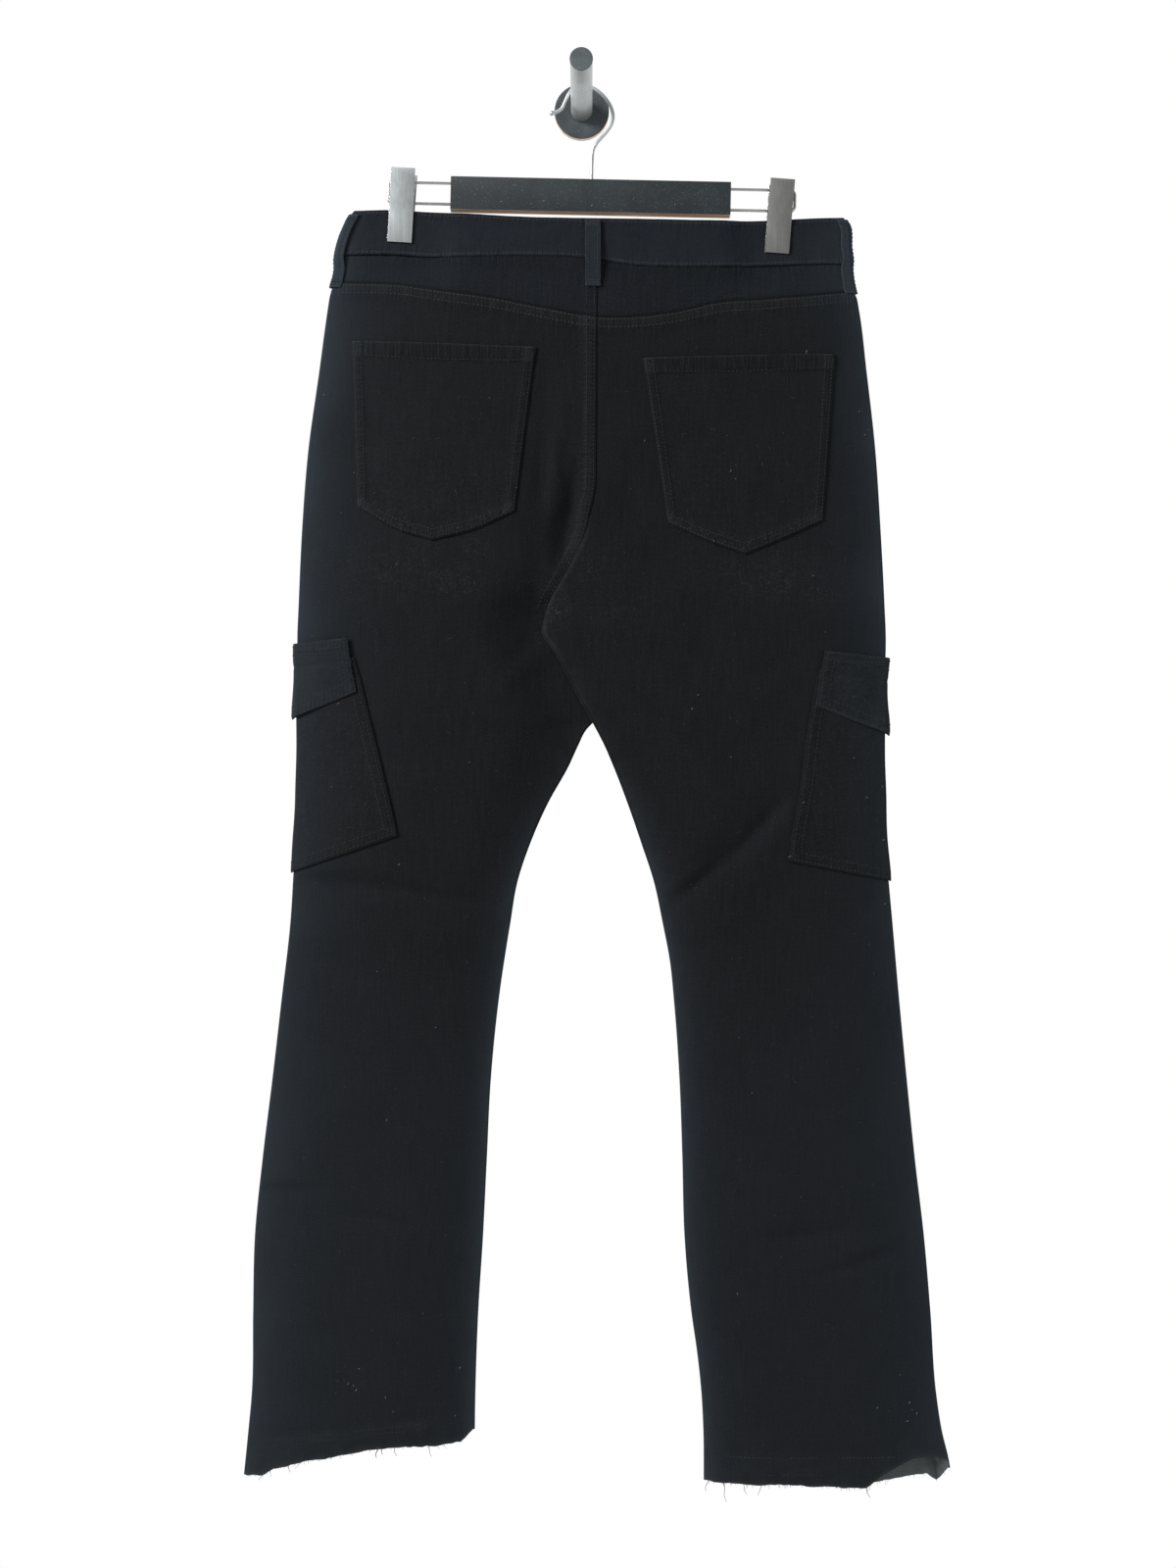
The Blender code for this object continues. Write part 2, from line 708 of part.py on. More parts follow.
def build_belt_loop(name, side, face, x_at, top_z, bottom_z):
    """A strip over the waistband, close to it at its ends and bowed out between."""
    grid = []
    for down in np.linspace(0, 1, 8):
        z = mix(top_z, bottom_z, down)
        row = []
        for across in (-0.5, 0, 0.5):
            x = x_at + across * BELT_LOOP_WIDTH
            under = band_depth(side, face, x, z) + BAND / 2
            below = face_depth(side, face, x, z) + CLOTH / 2
            line = band_lower(x) if face == "back" else front_top(x)
            depth = mix(under, below, smoothstep(-z, -line + 3, -line + 13))
            bow = LOOP_BOW * math.sin(math.pi * down)
            y = OUTWARD[face] * (depth + LOOP_OUT + LOOP / 2 + bow)
            row.append((x, JEANS_PLANE_Y + y, z))
        grid.append(row)
    sheet(name, grid, LOOP)


def build_side_loop(side, start, end, top_z, bottom_z):
    """A belt loop folded round the side: start and end are distances from the side fold."""
    grid = []
    for down in np.linspace(0, 1, 8):
        z = mix(top_z, bottom_z, down)
        bow = LOOP_BOW * math.sin(math.pi * down)
        out = BAND / 2 + LOOP_OUT + LOOP / 2 + bow
        grid.append([round_side(side, z, along, band_depth, out) for along in np.linspace(start, end, 7)])
    sheet(f"belt_loop_side_{side}", grid, LOOP)


def build_belt_loops():
    build_belt_loop("belt_loop_back", "right", "back", 9.4, -99.3, -153.7)
    build_belt_loop("belt_loop_front_left", "left", "front", -72, -97.5, -152)
    build_belt_loop("belt_loop_front_right", "right", "front", 96, -101.5, -156)
    build_side_loop("left", 18, -1, -95, -154.5)
    build_side_loop("right", 14, -5, -99, -159)


def build_back_pocket(side):
    top_left, top_right, low_right, tip, low_left = BACK_POCKETS[side]
    tip_share = (tip[0] - low_left[0]) / (low_right[0] - low_left[0])
    shares = sorted({*np.linspace(0, tip_share, 4), *np.linspace(tip_share, 1, 4)})
    grid = []
    for down in np.linspace(0, 1, 8):
        row = []
        for share in shares:
            x_top, z_top = mix(top_left[0], top_right[0], share), mix(top_left[1], top_right[1], share)
            x_low = float(np.interp(share, (0, tip_share, 1), (low_left[0], tip[0], low_right[0])))
            z_low = float(np.interp(share, (0, tip_share, 1), (low_left[1], tip[1], low_right[1])))
            x, z = mix(x_top, x_low, down), mix(z_top, z_low, down)
            row.append(on_face(side, "back", x, z, CARGO_OUT))
        grid.append(row)
    sheet(f"back_pocket_{side}", grid, PATCH)


def folded_patch(side, top, bottom, top_at_fold, bottom_at_fold, edge_of, out, rows):
    """Rows of points of a patch folded round the side, alike on both faces."""
    grid = []
    for down in np.linspace(0, 1, rows):
        edge = edge_of(down)
        quarter = (PRESSED + out(0, top)) * math.pi / 2
        half = [0.5 * quarter, quarter, *np.linspace(quarter, edge, 6)[1:]]
        row = []
        for along in (*(-a for a in reversed(half)), 0, *half):
            share = abs(along) / edge
            z = mix(mix(top_at_fold, top, share), mix(bottom_at_fold, bottom, share), down)
            row.append(round_side(side, z, along, face_depth, out(along, z)))
        grid.append(row)
    return grid


def build_cargo(side):
    form = CARGO[side]
    width_at = line_through([(z, width) for width, z in form["edge"]])
    top_z, low_z = form["edge"][0][1], form["edge"][-1][1]
    pocket = folded_patch(
        side, top_z, low_z, *form["at_fold"],
        lambda down: width_at(mix(top_z, low_z, down)), lambda along, z: CARGO_OUT, 8,
    )
    sheet(f"cargo_pocket_{side}", pocket, PATCH)

    snap_along, snap_z = form["snap"]

    def flap_out(along, z):
        away = math.hypot(abs(along) - snap_along, z - snap_z)
        return FLAP_OUT + SNAP_BULGE * math.exp(-((away / SNAP_SPREAD) ** 2))

    (top_width, flap_top), (low_width, flap_low) = form["flap_edge"]
    flap = folded_patch(
        side, flap_top, flap_low, *form["flap_at_fold"],
        lambda down: mix(top_width, low_width, down), flap_out, 6,
    )
    sheet(f"cargo_flap_{side}", flap, PATCH)
    for along, face in ((snap_along, "back"), (-snap_along, "front")):
        half = SNAP_THICK / 2
        middle = CARGO_OUT + PATCH / 2 + 0.3 + half
        place = Vector(round_side(side, snap_z, along, face_depth, middle))
        beside = Vector(round_side(side, snap_z, along + math.copysign(2, along), face_depth, middle))
        above = Vector(round_side(side, snap_z + 2, along, face_depth, middle))
        facing = (beside - place).cross(above - place)
        profile = ((0, -half), (SNAP_RADIUS, -half), (SNAP_RADIUS, half), (0, half))
        snap = turned(f"cargo_snap_{side}_{face}", profile, brushed_metal(), 16)
        snap.location = place * MM
        snap.rotation_mode = "QUATERNION"
        snap.rotation_quaternion = facing.to_track_quat("Z", "Y")


def build_fly():
    """Facing, zip and shield, one behind the other inside the front seam."""
    layers = (
        ("fly_facing", -36, -1, CLOTH, CLOTH + 0.35),
        ("fly_zip", -15, 13, 1.2, 2 * CLOTH + 0.6),
        ("fly_shield", -30, 9, CLOTH, 3 * CLOTH + 0.8),
    )
    for name, start, end, thickness, inside in layers:
        grid = []
        for down in np.linspace(0, 1, 7):
            z = mix(FLY_TOP_Z, FLY_BOTTOM_Z, down)
            narrow = 1 - 0.55 * smoothstep(down, 0.7, 1)
            row = []
            for share in np.linspace(0, 1, 4):
                x = seam_line["left"](z) + mix(start, end, share) * narrow
                side = "left" if x < seam_line["left"](z) else "right"
                row.append(on_face(side, "front", x, z, -inside))
            grid.append(row)
        sheet(name, grid, thickness)


def build_button():
    x, z = seam_line["left"](-117), -117.0
    face_y = JEANS_PLANE_Y + band_depth("left", "front", x, z) + BAND / 2 + SEAM_GAP
    r, top = BUTTON_RADIUS, BUTTON_THICK
    profile = (
        (0, 0), (r - 2.5, 0), (r, 1.2), (r, 2.4), (r - 1, top), (r - 2.4, top - 0.5), (0, top - 0.7),
    )
    button = turned("waist_button", profile, brushed_metal(), 24)
    button.location = Vector((x, face_y, z)) * MM
    button.rotation_euler = (-math.pi / 2, 0, 0)


# --- the hanger and the peg --------------------------------------------------------------
def wire_loop_points(side):
    """One bent wire: out of the bar's end, round two corners and back into the bar."""
    way = SIDEWAYS[side]
    inside = way * (BAR_SIZE[0] / 2 - BORE_DEPTH + 2)
    end = WIRE_ENDS_X[side] - BAR_CENTRE[0] + way * -WIRE_RADIUS
    upper, lower = WIRE_RUN_Z
    points = [(inside, 0, upper)]
    for first_degrees, corner_z in ((90, upper - WIRE_BEND), (0, lower + WIRE_BEND)):
        for step in range(5):
            angle = math.radians(first_degrees - 22.5 * step)
            across, up = WIRE_BEND * math.cos(angle), WIRE_BEND * math.sin(angle)
            points.append((end - way * WIRE_BEND + way * across, 0, corner_z + up))
    return [*points, (inside, 0, lower)]


def build_bar(hanger):
    half = Vector(BAR_SIZE) / 2
    bar = add_object("hanger_bar", box_mesh("hanger_bar", -half, half), black_paint())
    bar.parent = hanger
    for side, way in SIDEWAYS.items():
        for run, height in zip(("upper", "lower"), WIRE_RUN_Z, strict=True):
            start, end = (way * (half.x - BORE_DEPTH), 0, height), (way * (half.x + 2), 0, height)
            hole = rod_cutter(f"bore_{side}_{run}", start, end, BORE_RADIUS, hanger)
            boolean(bar, hole, "DIFFERENCE")
    x, radius = HOOK_BORE_X, HOOK_WIRE_RADIUS + 0.4
    stem = rod_cutter("bore_hook", (x, 0, half.z - BORE_DEPTH), (x, 0, half.z + 2), radius, hanger)
    boolean(bar, stem, "DIFFERENCE")


def hook_points():
    """The hook's wire in the wall's frame: up out of the bar and over the peg."""
    stem = ((8.1, -75.0), (8.2, -62.0), (8.6, -50.0), (9.6, -41.5), (13.0, -35.5), (18.2, -29.8))
    turns = [math.radians(degrees) for degrees in range(-36, 176, 10)]
    centre_x, centre_z = HOOK_CENTRE
    arc = [(centre_x + HOOK_BEND * math.cos(a), centre_z + HOOK_BEND * math.sin(a)) for a in turns]
    tip = ((-19.6, -8.9), (-22.6, -11.2), (-26.6, -11.6))
    return [(x, JEANS_PLANE_Y, z) for x, z in (*stem, *arc, *tip)]


def jaw_profile():
    """Side view of one jaw's middle line, from the grip up: height, distance from the middle."""
    low, high = -CLIP_HEIGHT / 2, CLIP_HEIGHT / 2
    return (
        (low, JAW_GRIP_Y),
        (low + 24, JAW_GRIP_Y),
        (low + 33, JAW_GRIP_Y + 1.6),
        (high - 8, JAW_OPEN_Y),
        (high, JAW_OPEN_Y + 0.4),
    )


def ear_outline(way, reach, pin_z):
    """An ear runs from the jaw's middle line to just past the pin."""
    jaw_line = line_through(jaw_profile())
    heights = [pin_z - reach, *(z for z, _ in jaw_profile() if abs(z - pin_z) < reach - 1), pin_z + reach]
    along_jaw = [(way * jaw_line(z), z) for z in sorted(heights)]
    return [*along_jaw, (-way * EAR_PAST_PIN, pin_z + reach), (-way * EAR_PAST_PIN, pin_z - reach)]


def build_clip(side):
    clip = bpy.data.objects.new(f"clip_{side}", None)
    bpy.context.scene.collection.objects.link(clip)
    x, z = CLIPS[side]
    clip.location = Vector((x, JEANS_PLANE_Y, z)) * MM
    clip.rotation_euler = (0, CLIP_LEAN, 0)
    hanger_drop = -math.tan(HANGER_TILT) * (x - BAR_CENTRE[0])
    runs = [BAR_CENTRE[2] + height + hanger_drop - z for height in WIRE_RUN_Z]
    pin_z = sum(runs) / 2
    for face, way in OUTWARD.items():
        name = f"clip_{side}_jaw_{face}"
        grid = [
            [(px, way * distance, height) for px in (-CLIP_WIDTH / 2, 0, CLIP_WIDTH / 2)]
            for height, distance in jaw_profile()
        ]
        jaw = sheet(name, grid, JAW_THICK, brushed_metal())
        jaw.parent = clip
        ear_x = EAR_X["outer" if face == "back" else "inner"]
        reach = 12.0 if face == "back" else 4.2
        for where in (-1, 1):
            low_x, high_x = where * ear_x - EAR_THICK / 2, where * ear_x + EAR_THICK / 2
            ear_mesh = prism_mesh(name, ear_outline(way, reach, pin_z), low_x, high_x)
            ear = as_helper(bpy.data.objects.new(f"ear_{side}_{face}_{where}", ear_mesh), clip)
            boolean(jaw, ear, "UNION")
        holes = [(0, pin_z, PIN_RADIUS + 0.3, 0.0)]
        if face == "back":
            holes += [(0, run, WIRE_RADIUS + 0.45, math.tan(HANGER_TILT - CLIP_LEAN)) for run in runs]
        for i, (y, height, radius, slope) in enumerate(holes):
            start, end = (-11, y, height + 11 * slope), (11, y, height - 11 * slope)
            hole = rod_cutter(f"hole_{side}_{face}_{i}", start, end, radius, clip, 12)
            boolean(jaw, hole, "DIFFERENCE")
    wire(f"clip_{side}_pin", ((-PIN_REACH, 0, pin_z), (PIN_REACH, 0, pin_z)), PIN_RADIUS, chrome(), clip)
    spring = turned(
        f"clip_{side}_spring",
        ((PIN_RADIUS + 0.3, -SPRING_REACH), (SPRING_RADIUS, -SPRING_REACH), (SPRING_RADIUS, SPRING_REACH),
         (PIN_RADIUS + 0.3, SPRING_REACH), (PIN_RADIUS + 0.3, -SPRING_REACH)),
        brushed_metal(), 16,
    )
    spring.parent = clip
    spring.location = (0, 0, pin_z * MM)
    spring.rotation_euler = (0, math.pi / 2, 0)


def build_hanger():
    hanger = bpy.data.objects.new("hanger", None)
    bpy.context.scene.collection.objects.link(hanger)
    hanger.location = Vector(BAR_CENTRE) * MM
    hanger.rotation_euler = (0, HANGER_TILT, 0)
    build_bar(hanger)
    for side in SIDEWAYS:
        wire(f"hanger_wire_{side}", wire_loop_points(side), WIRE_RADIUS, chrome(), hanger)
    wire("hanger_hook", hook_points(), HOOK_WIRE_RADIUS, chrome(), None)
    for side in SIDEWAYS:
        build_clip(side)


def build_peg():
    plate = turned(
        "peg_plate",
        ((0, 0), (PEG_PLATE_RADIUS, 0), (PEG_PLATE_RADIUS, PEG_PLATE_THICK - 1.5),
         (PEG_PLATE_RADIUS - 1.5, PEG_PLATE_THICK), (0, PEG_PLATE_THICK)),
        black_paint(), 40,
    )
    rod_start = PEG_PLATE_THICK + SEAM_GAP
    rod = turned(
        "peg_rod",
        ((0, rod_start), (PEG_RADIUS, rod_start), (PEG_RADIUS, -PEG_END_Y), (0, -PEG_END_Y)),
        chrome(), 32,
    )
    cap_start = -PEG_END_Y + SEAM_GAP
    cap = turned(
        "peg_cap",
        ((0, cap_start), (CAP_RADIUS, cap_start), (CAP_RADIUS, cap_start + CAP_THICK - 1.4),
         (CAP_RADIUS - 1.4, cap_start + CAP_THICK), (0, cap_start + CAP_THICK)),
        black_plastic(), 32,
    )
    for piece in (plate, rod, cap):
        piece.rotation_euler = (math.pi / 2, 0, 0)


def main():
    for leftover in list(bpy.data.objects):
        bpy.data.objects.remove(leftover, do_unlink=True)
    build_legs()
    for side in SIDEWAYS:
        build_yoke(side)
        build_pocket_facing(side)
        build_back_pocket(side)
        build_cargo(side)
    build_waistband()
    build_belt_loops()
    build_fly()
    build_button()
    build_hanger()
    build_peg()


main()
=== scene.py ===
"""Looks of the cargo jeans on their clip hanger and wall peg.

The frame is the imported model's: +Z up, the wall is the plane y = 0, the jeans hang in
front of it with their back towards -Y. Left is the wearer's left, which is -X. The cloth
is worked out in millimetres like the solids it covers, on finer grids, and becomes metres
where a mesh is made. Its tables differ from the solids' by some millimetres, up to 9 at the
cargo pockets' edges, so that the picture's edges fall where the photograph's do.
"""

import math

import bmesh
import bpy
import numpy as np
from mathutils import Matrix, Vector


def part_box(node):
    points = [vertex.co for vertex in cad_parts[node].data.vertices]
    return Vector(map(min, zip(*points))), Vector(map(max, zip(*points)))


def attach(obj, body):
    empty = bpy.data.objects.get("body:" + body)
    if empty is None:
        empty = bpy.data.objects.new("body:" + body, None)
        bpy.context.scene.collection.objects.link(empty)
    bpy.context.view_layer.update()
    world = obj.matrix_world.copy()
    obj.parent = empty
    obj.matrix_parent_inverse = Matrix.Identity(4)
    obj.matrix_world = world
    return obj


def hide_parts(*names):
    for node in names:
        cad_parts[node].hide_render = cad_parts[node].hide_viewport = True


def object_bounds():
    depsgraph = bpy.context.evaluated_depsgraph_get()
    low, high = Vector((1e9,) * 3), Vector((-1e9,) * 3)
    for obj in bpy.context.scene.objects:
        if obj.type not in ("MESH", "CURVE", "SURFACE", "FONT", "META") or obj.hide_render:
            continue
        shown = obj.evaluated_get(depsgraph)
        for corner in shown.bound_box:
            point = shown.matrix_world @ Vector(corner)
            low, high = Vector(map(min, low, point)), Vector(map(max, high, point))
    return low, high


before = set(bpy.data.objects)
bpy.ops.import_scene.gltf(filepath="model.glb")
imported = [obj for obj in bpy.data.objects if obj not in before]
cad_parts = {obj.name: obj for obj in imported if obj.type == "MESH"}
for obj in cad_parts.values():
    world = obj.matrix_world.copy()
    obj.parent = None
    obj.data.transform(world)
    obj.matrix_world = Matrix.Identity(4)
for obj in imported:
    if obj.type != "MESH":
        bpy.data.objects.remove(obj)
cad_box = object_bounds()

MM = 0.001
LEFT_RIGHT = ("left", "right")
OTHER = {"left": "right", "right": "left"}
OUTWARD = {"back": -1, "front": 1}  # the direction of y away from the jeans' middle plane
SIDEWAYS = {"left": -1, "right": 1}  # the direction of x away from the middle

# --- the jeans' sizes, in millimetres, near the solids' ----------------------------------
PLANE_Y = -32.0  # the jeans' middle plane
CLOTH, BAND, PATCH, LOOP = 1.4, 2.6, 1.2, 1.8  # how thick the cloth is in each
PRESSED = (CLOTH + 0.4) / 2  # middle plane to cloth, where two layers are pressed together
BAND_PRESSED = 1.6  # the same in the waistband
CROTCH_Z, CROSS_TOP_Z, CROSS_END_Z = -434.0, -428.0, -436.0
SPLIT_Z, UNTUCKED_Z, HEM_FADE_Z = -513.4, -600.0, -1040.0
BACK_TOP_Z, BOTTOM_Z = -180.0, -1130.0  # a panel's level height before its real edges are followed
LANE = 2 * PRESSED  # one leg lies this far in front of the other where they overlap
BODY_ROUND, LEG_ROUND = 4, 3  # powers of the flattened sections

OUTLINE = (  # height, left edge, right edge
    (-90, -183, 205.5), (-97, -188, 212.5), (-104, -191.6, 217), (-123, -198.2, 218.6),
    (-136, -200.6, 220.4), (-150, -203.4, 222.2), (-158, -206.2, 223.9), (-165, -208, 227),
    (-172, -209.1, 228.4), (-226, -216.5, 235.2), (-291, -225.5, 242.4), (-355, -230.5, 246.6),
    (-420, -233.5, 250), (-445, -234.5, 251), (-460, -234.4, 250.8), (-478, -233.4, 249.2),
    (-520, -232.9, 248), (-566, -233.8, 248.4), (-585, -234.2, 248.8), (-635, -237.4, 252.4),
    (-680, -240.2, 256.4), (-744, -247.5, 262), (-809, -255, 268.2), (-874, -263, 274.8),
    (-939, -269.5, 282.4), (-1003, -271, 287.9), (-1068, -272, 292.4), (-1101, -275, 297.4),
    (-1126, -277.5, 303.3), (-1150, -280, 305.5),
)
BACK_SEAM_AND_RIGHT_INSEAM = (  # height, x
    (-90, 12.4), (-179, 12.4), (-291, 11.8), (-325, 11), (-343, 7), (-363, 2), (-378, -5.2),
    (-397.5, -15.8), (-412, -24.7), (-430, -31), (-441, -31.2), (-457.5, -20.6), (-480, -8.5),
    (-500, 2.1), (SPLIT_Z, 9.6), (-534, 20.4), (-550, 27.3), (-582, 39.6), (-615, 51),
    (-647, 61.4), (-680, 68.4), (-712, 74.5), (-744, 77.8), (-809, 82.4), (-874, 84.8),
    (-939, 86.6), (-1003, 92.4), (-1036, 97.1), (-1068, 100.5), (-1101, 102.2), (-1150, 102.5),
)
FRONT_SEAM_AND_LEFT_INSEAM = (  # height, x
    (-90, 11.5), (-330, 12), (-385, 14.5), (-420, 19.5), (-441, 21), (-460, 20.5), (-485, 17),
    (-503, 13), (SPLIT_Z, 9.2), (-520, 3), (-534, -4.4), (-550, -11.7), (-582, -29.5),
    (-615, -44), (-647, -54.6), (-680, -60.3), (-744, -70), (-809, -76.5), (-874, -79.8),
    (-939, -83), (-1003, -87), (-1068, -89.3), (-1150, -90),
)
FULLNESS = (  # height, middle plane to cloth at its fullest
    (-90, 7), (-130, 8.5), (-190, 12), (-280, 13), (-380, 11.5), (-450, 10.5), (-560, 10),
    (-700, 9), (-850, 9), (-1000, 9.5), (-1150, 10.5),
)
BAND_UPPER = (  # x, height, as in the next tables
    (-204, -94.5), (-185, -93.4), (-160, -92.6), (-120, -95), (-80, -98), (-43, -100), (5, -101),
    (54, -101.8), (100, -102.6), (123, -102.5), (151, -101.6), (180, -100.1), (212, -99.2),
)
BAND_LOWER = (
    (-204, -130), (-156, -129), (-124, -131.4), (-90, -132), (-47, -131.4), (1, -133.3),
    (43, -139.6), (90, -141.1), (152, -138.8), (205, -137.2), (224, -137.2),
)
YOKE_SEAM = (
    (-210, -152), (-170, -153), (-155, -154), (-113, -160.8), (-70, -167), (-31, -175),
    (12.4, -182.4), (59, -181), (87, -176.3), (109, -171), (152, -167.4), (180, -164.6),
    (228, -158.5),
)
FRONT_TOP = (
    (-206, -130), (-100, -133), (12, -137), (100, -137), (226, -137),
)
HEM = {
    ("left", "back"): (
        (-280, -1137), (-263, -1135.4), (-256, -1131.2), (-244, -1127), (-233, -1124),
        (-203, -1118.2), (-186, -1114.4), (-165, -1111.2), (-137, -1110.1), (-120, -1110.7),
        (-108, -1108.5), (-99, -1107.4), (-89, -1098),
    ),
    ("right", "back"): (
        (100, -1139.8), (109, -1141.9), (122, -1142.1), (135, -1142.6), (148, -1141.9),
        (188, -1142.2), (212, -1143.7), (234, -1143.9), (240, -1139.4), (246.1, -1133.7),
        (253, -1130.2), (262.2, -1125.6), (270.2, -1120.9), (282.9, -1120), (304, -1123.2),
    ),
    ("left", "front"): (
        (-280, -1134), (-256, -1129), (-203, -1117), (-165, -1111), (-120, -1109.5), (-89, -1096),
    ),
    ("right", "front"): (
        (100, -1137), (188, -1140.5), (226, -1143), (236, -1147), (246.5, -1146.3),
        (253, -1144.2), (259.5, -1142.7), (272.6, -1140), (285.6, -1137.3), (288.4, -1137.4),
        (290.5, -1141.8), (295.5, -1141.2), (297.5, -1137.5), (305, -1128.5),
    ),
}
# The largest folds, as in the solids: from x, z, to x, z, half-width, height.
FOLDS = {
    ("left", "back"): (
        (-28, -330, -38, -425, 15, -2.6), (-62, -360, -70, -440, 17, 1.1),
        (-232, -645, -75, -664, 17, -2.4), (-215, -672, -95, -694, 18, 1.6),
        (-262, -902, -190, -920, 18, -1.8),
    ),
    ("right", "back"): (
        (160, -578, 70, -668, 17, -2.4), (190, -600, 110, -672, 18, 1.6),
        (155, -938, 268, -926, 18, -1.8),
    ),
    ("left", "front"): (
        (-225, -640, -80, -668, 18, -2.2), (-30, -390, -120, -450, 18, -2.0),
    ),
    ("right", "front"): (
        (95, -652, 225, -630, 18, -2.2), (50, -395, 130, -455, 18, -2.0),
    ),
}
# Finer creases: the same columns.
CREASES = {
    ("left", "back"): (
        (-5, -305, -9, -350, 6.5, -3.2), (-10.5, -332, -14.5, -390, 9.5, -4.9),
        (-30, -330, -34, -388, 7, 1.3), (-27, -226, -31, -290, 6, -1.0),
        (-31, -280, -34, -356, 6, -1.7), (-21, -280, -23, -345, 5, 1.5),
        (-26, -372, -30, -410, 7, 1.0), (-44, -345, -48, -420, 9, 0.8),
        (-34, -436, -62, -470, 8, -1.0), (-30, -452, -78, -498, 9, 0.8),
        (-120, -396, -52, -418, 9, 0.7), (-238, -634, -196, -638, 6, 0.9),
        (-236, -644, -150, -652, 7, -1.7), (-160, -651, -70, -668, 6, -1.9),
        (-225, -656, -140, -666, 7, 0.9), (-186, -664, -110, -668, 7, 0.8),
        (-242, -700, -176, -720, 9, -0.7), (-268, -898, -218, -902, 6, -1.7),
        (-262, -892, -224, -894, 7, 0.7), (-194, -916, -130, -932, 6, -1.6),
        (-176, -926, -140, -938, 6, 0.6), (-250, -1030, -190, -1010, 10, -0.6),
        (-130, -780, -84, -812, 10, -0.7),
    ),
    ("right", "back"): (
        (40, -318, 44, -352, 7, -0.9), (-14, -412, 16, -424, 6, -0.9),
        (-18, -424, 24, -440, 6, 0.7), (0, -448, 44, -480, 8, -0.7),
        (165, -581, 124, -626, 6, -2.6), (128, -620, 76, -664, 6, -2.4),
        (108, -628, 72, -652, 6, 1.0), (172, -592, 140, -630, 7, 0.9),
        (116, -604, 72, -640, 7, 0.7), (96, -690, 150, -702, 9, -0.7),
        (246, -660, 206, -690, 9, -0.7), (148, -940, 218, -933, 6, -1.6),
        (190, -971, 266, -948, 6, -1.7), (196, -962, 258, -940, 7, 0.7),
        (104, -980, 140, -960, 9, -0.6), (120, -812, 170, -830, 10, -0.6),
    ),
    ("left", "front"): (
        (0, -386, -62, -408, 7, -1.2), (-4, -402, -74, -436, 7, -1.1),
        (0, -372, -48, -376, 7, 0.8), (-215, -648, -150, -642, 6, -1.2),
        (-150, -655, -90, -662, 6, -1.1), (-200, -664, -120, -676, 8, 0.8),
        (-250, -905, -180, -915, 7, -1.0), (-160, -935, -100, -925, 8, -0.8),
    ),
    ("right", "front"): (
        (26, -386, 84, -404, 7, -1.2), (30, -404, 92, -438, 7, -1.1),
        (26, -372, 70, -372, 7, 0.8), (110, -640, 170, -632, 6, -1.2),
        (168, -650, 226, -636, 6, -1.0), (150, -925, 220, -935, 7, -1.0),
        (200, -965, 262, -950, 8, -0.8),
    ),
}
CRISPNESS = 1.35  # the finer creases are this much deeper than their table says
HEM_LINES = {  # the old hem's crease lines: from x, z, to x, z
    "left": (
        (-268, -1107, -126, -1091), (-262, -1111, -126, -1095),
    ),
    "right": (
        (109, -1119.5, 294, -1119), (147, -1133, 200, -1133),
    ),
}
PILLING = {  # greyish patches: centre x, z, half-widths and how much
    "back": (
        (-150, -388, 66, 24, 0.3), (-105, -398, 26, 16, 0.5), (-88, -372, 14, 10, 0.42),
        (-22, -421, 12, 14, 0.9), (6, -388, 22, 16, 0.26), (150, -394, 60, 24, 0.33),
        (163, -400, 24, 15, 0.6), (128, -390, 20, 11, 0.4), (190, -410, 24, 14, 0.45),
        (30, -425, 30, 22, 0.22),
    ),
    "front": (
        (-20, -430, 40, 30, 0.5), (40, -430, 40, 30, 0.5), (-110, -395, 50, 20, 0.3),
        (130, -395, 50, 20, 0.3),
    ),
}
SCOOP_TOP_Z, SCOOP_WIDTH, SCOOP_DEPTH, FACING_RECESS = -137.0, 92.0, 75.0, 0.8
SCOOP_LOW_Z = SCOOP_TOP_Z - SCOOP_DEPTH
BACK_POCKETS = {  # top left, top right, bottom right, point, bottom left
    "left": ((-189, -201.7), (-37.2, -208.3), (-54.7, -342.8), (-122.5, -366.4), (-184.5, -338.1)),
    "right": ((50.1, -217.4), (208.8, -212.4), (198.4, -349.4), (133.8, -378), (70.8, -351.9)),
}
POCKET_BULGE = {"left": (4.2, 3.0), "right": (1.6, 0.8)}  # how far its two lower edges round out
CARGO = {  # runs of (distance from the side fold, height), and top and bottom heights at the fold
    "left": {
        "edge": ((51.2, -462), (62.3, -510), (75.5, -560), (88.2, -608.5)),
        "at_fold": (-468, -639.4), "snap": (31, -476),
        "flap_edge": ((48.6, -446), (54.6, -490.2)), "flap_at_fold": (-450.8, -512.8),
    },
    "right": {
        "edge": ((58.5, -472), (66, -520), (74, -575), (86.6, -629.4)),
        "at_fold": (-482, -646.2), "snap": (29, -488),
        "flap_edge": ((57.6, -456.6), (62.4, -501.8)), "flap_at_fold": (-462.3, -526.2),
    },
}
PATCH_OUT = CLOTH / 2 + 0.55 + PATCH / 2  # panel's middle to a patch's middle
FLAP_OUT = PATCH_OUT + PATCH + 0.45
SNAP_BULGE = 1.8
LOOP_WIDTH, LOOP_LENGTH, LOOP_OUT, LOOP_BOW = 12.5, 55.0, 0.45, 1.6
FLY_TOP_Z, FLY_BOTTOM_Z = -139.0, -300.0
BAND_HEIGHT, BAND_OVERLAP, BAND_UNDERLAP = 36.0, 18.0, 22.0
YOKE_ALLOWANCE, SEAM_ALLOWANCE = 13.0, 10.5  # the doubled cloth beside the yoke and middle seams
SEWN_ROWS = (2.0, 8.0)  # a seam's two rows of stitches, from the seam

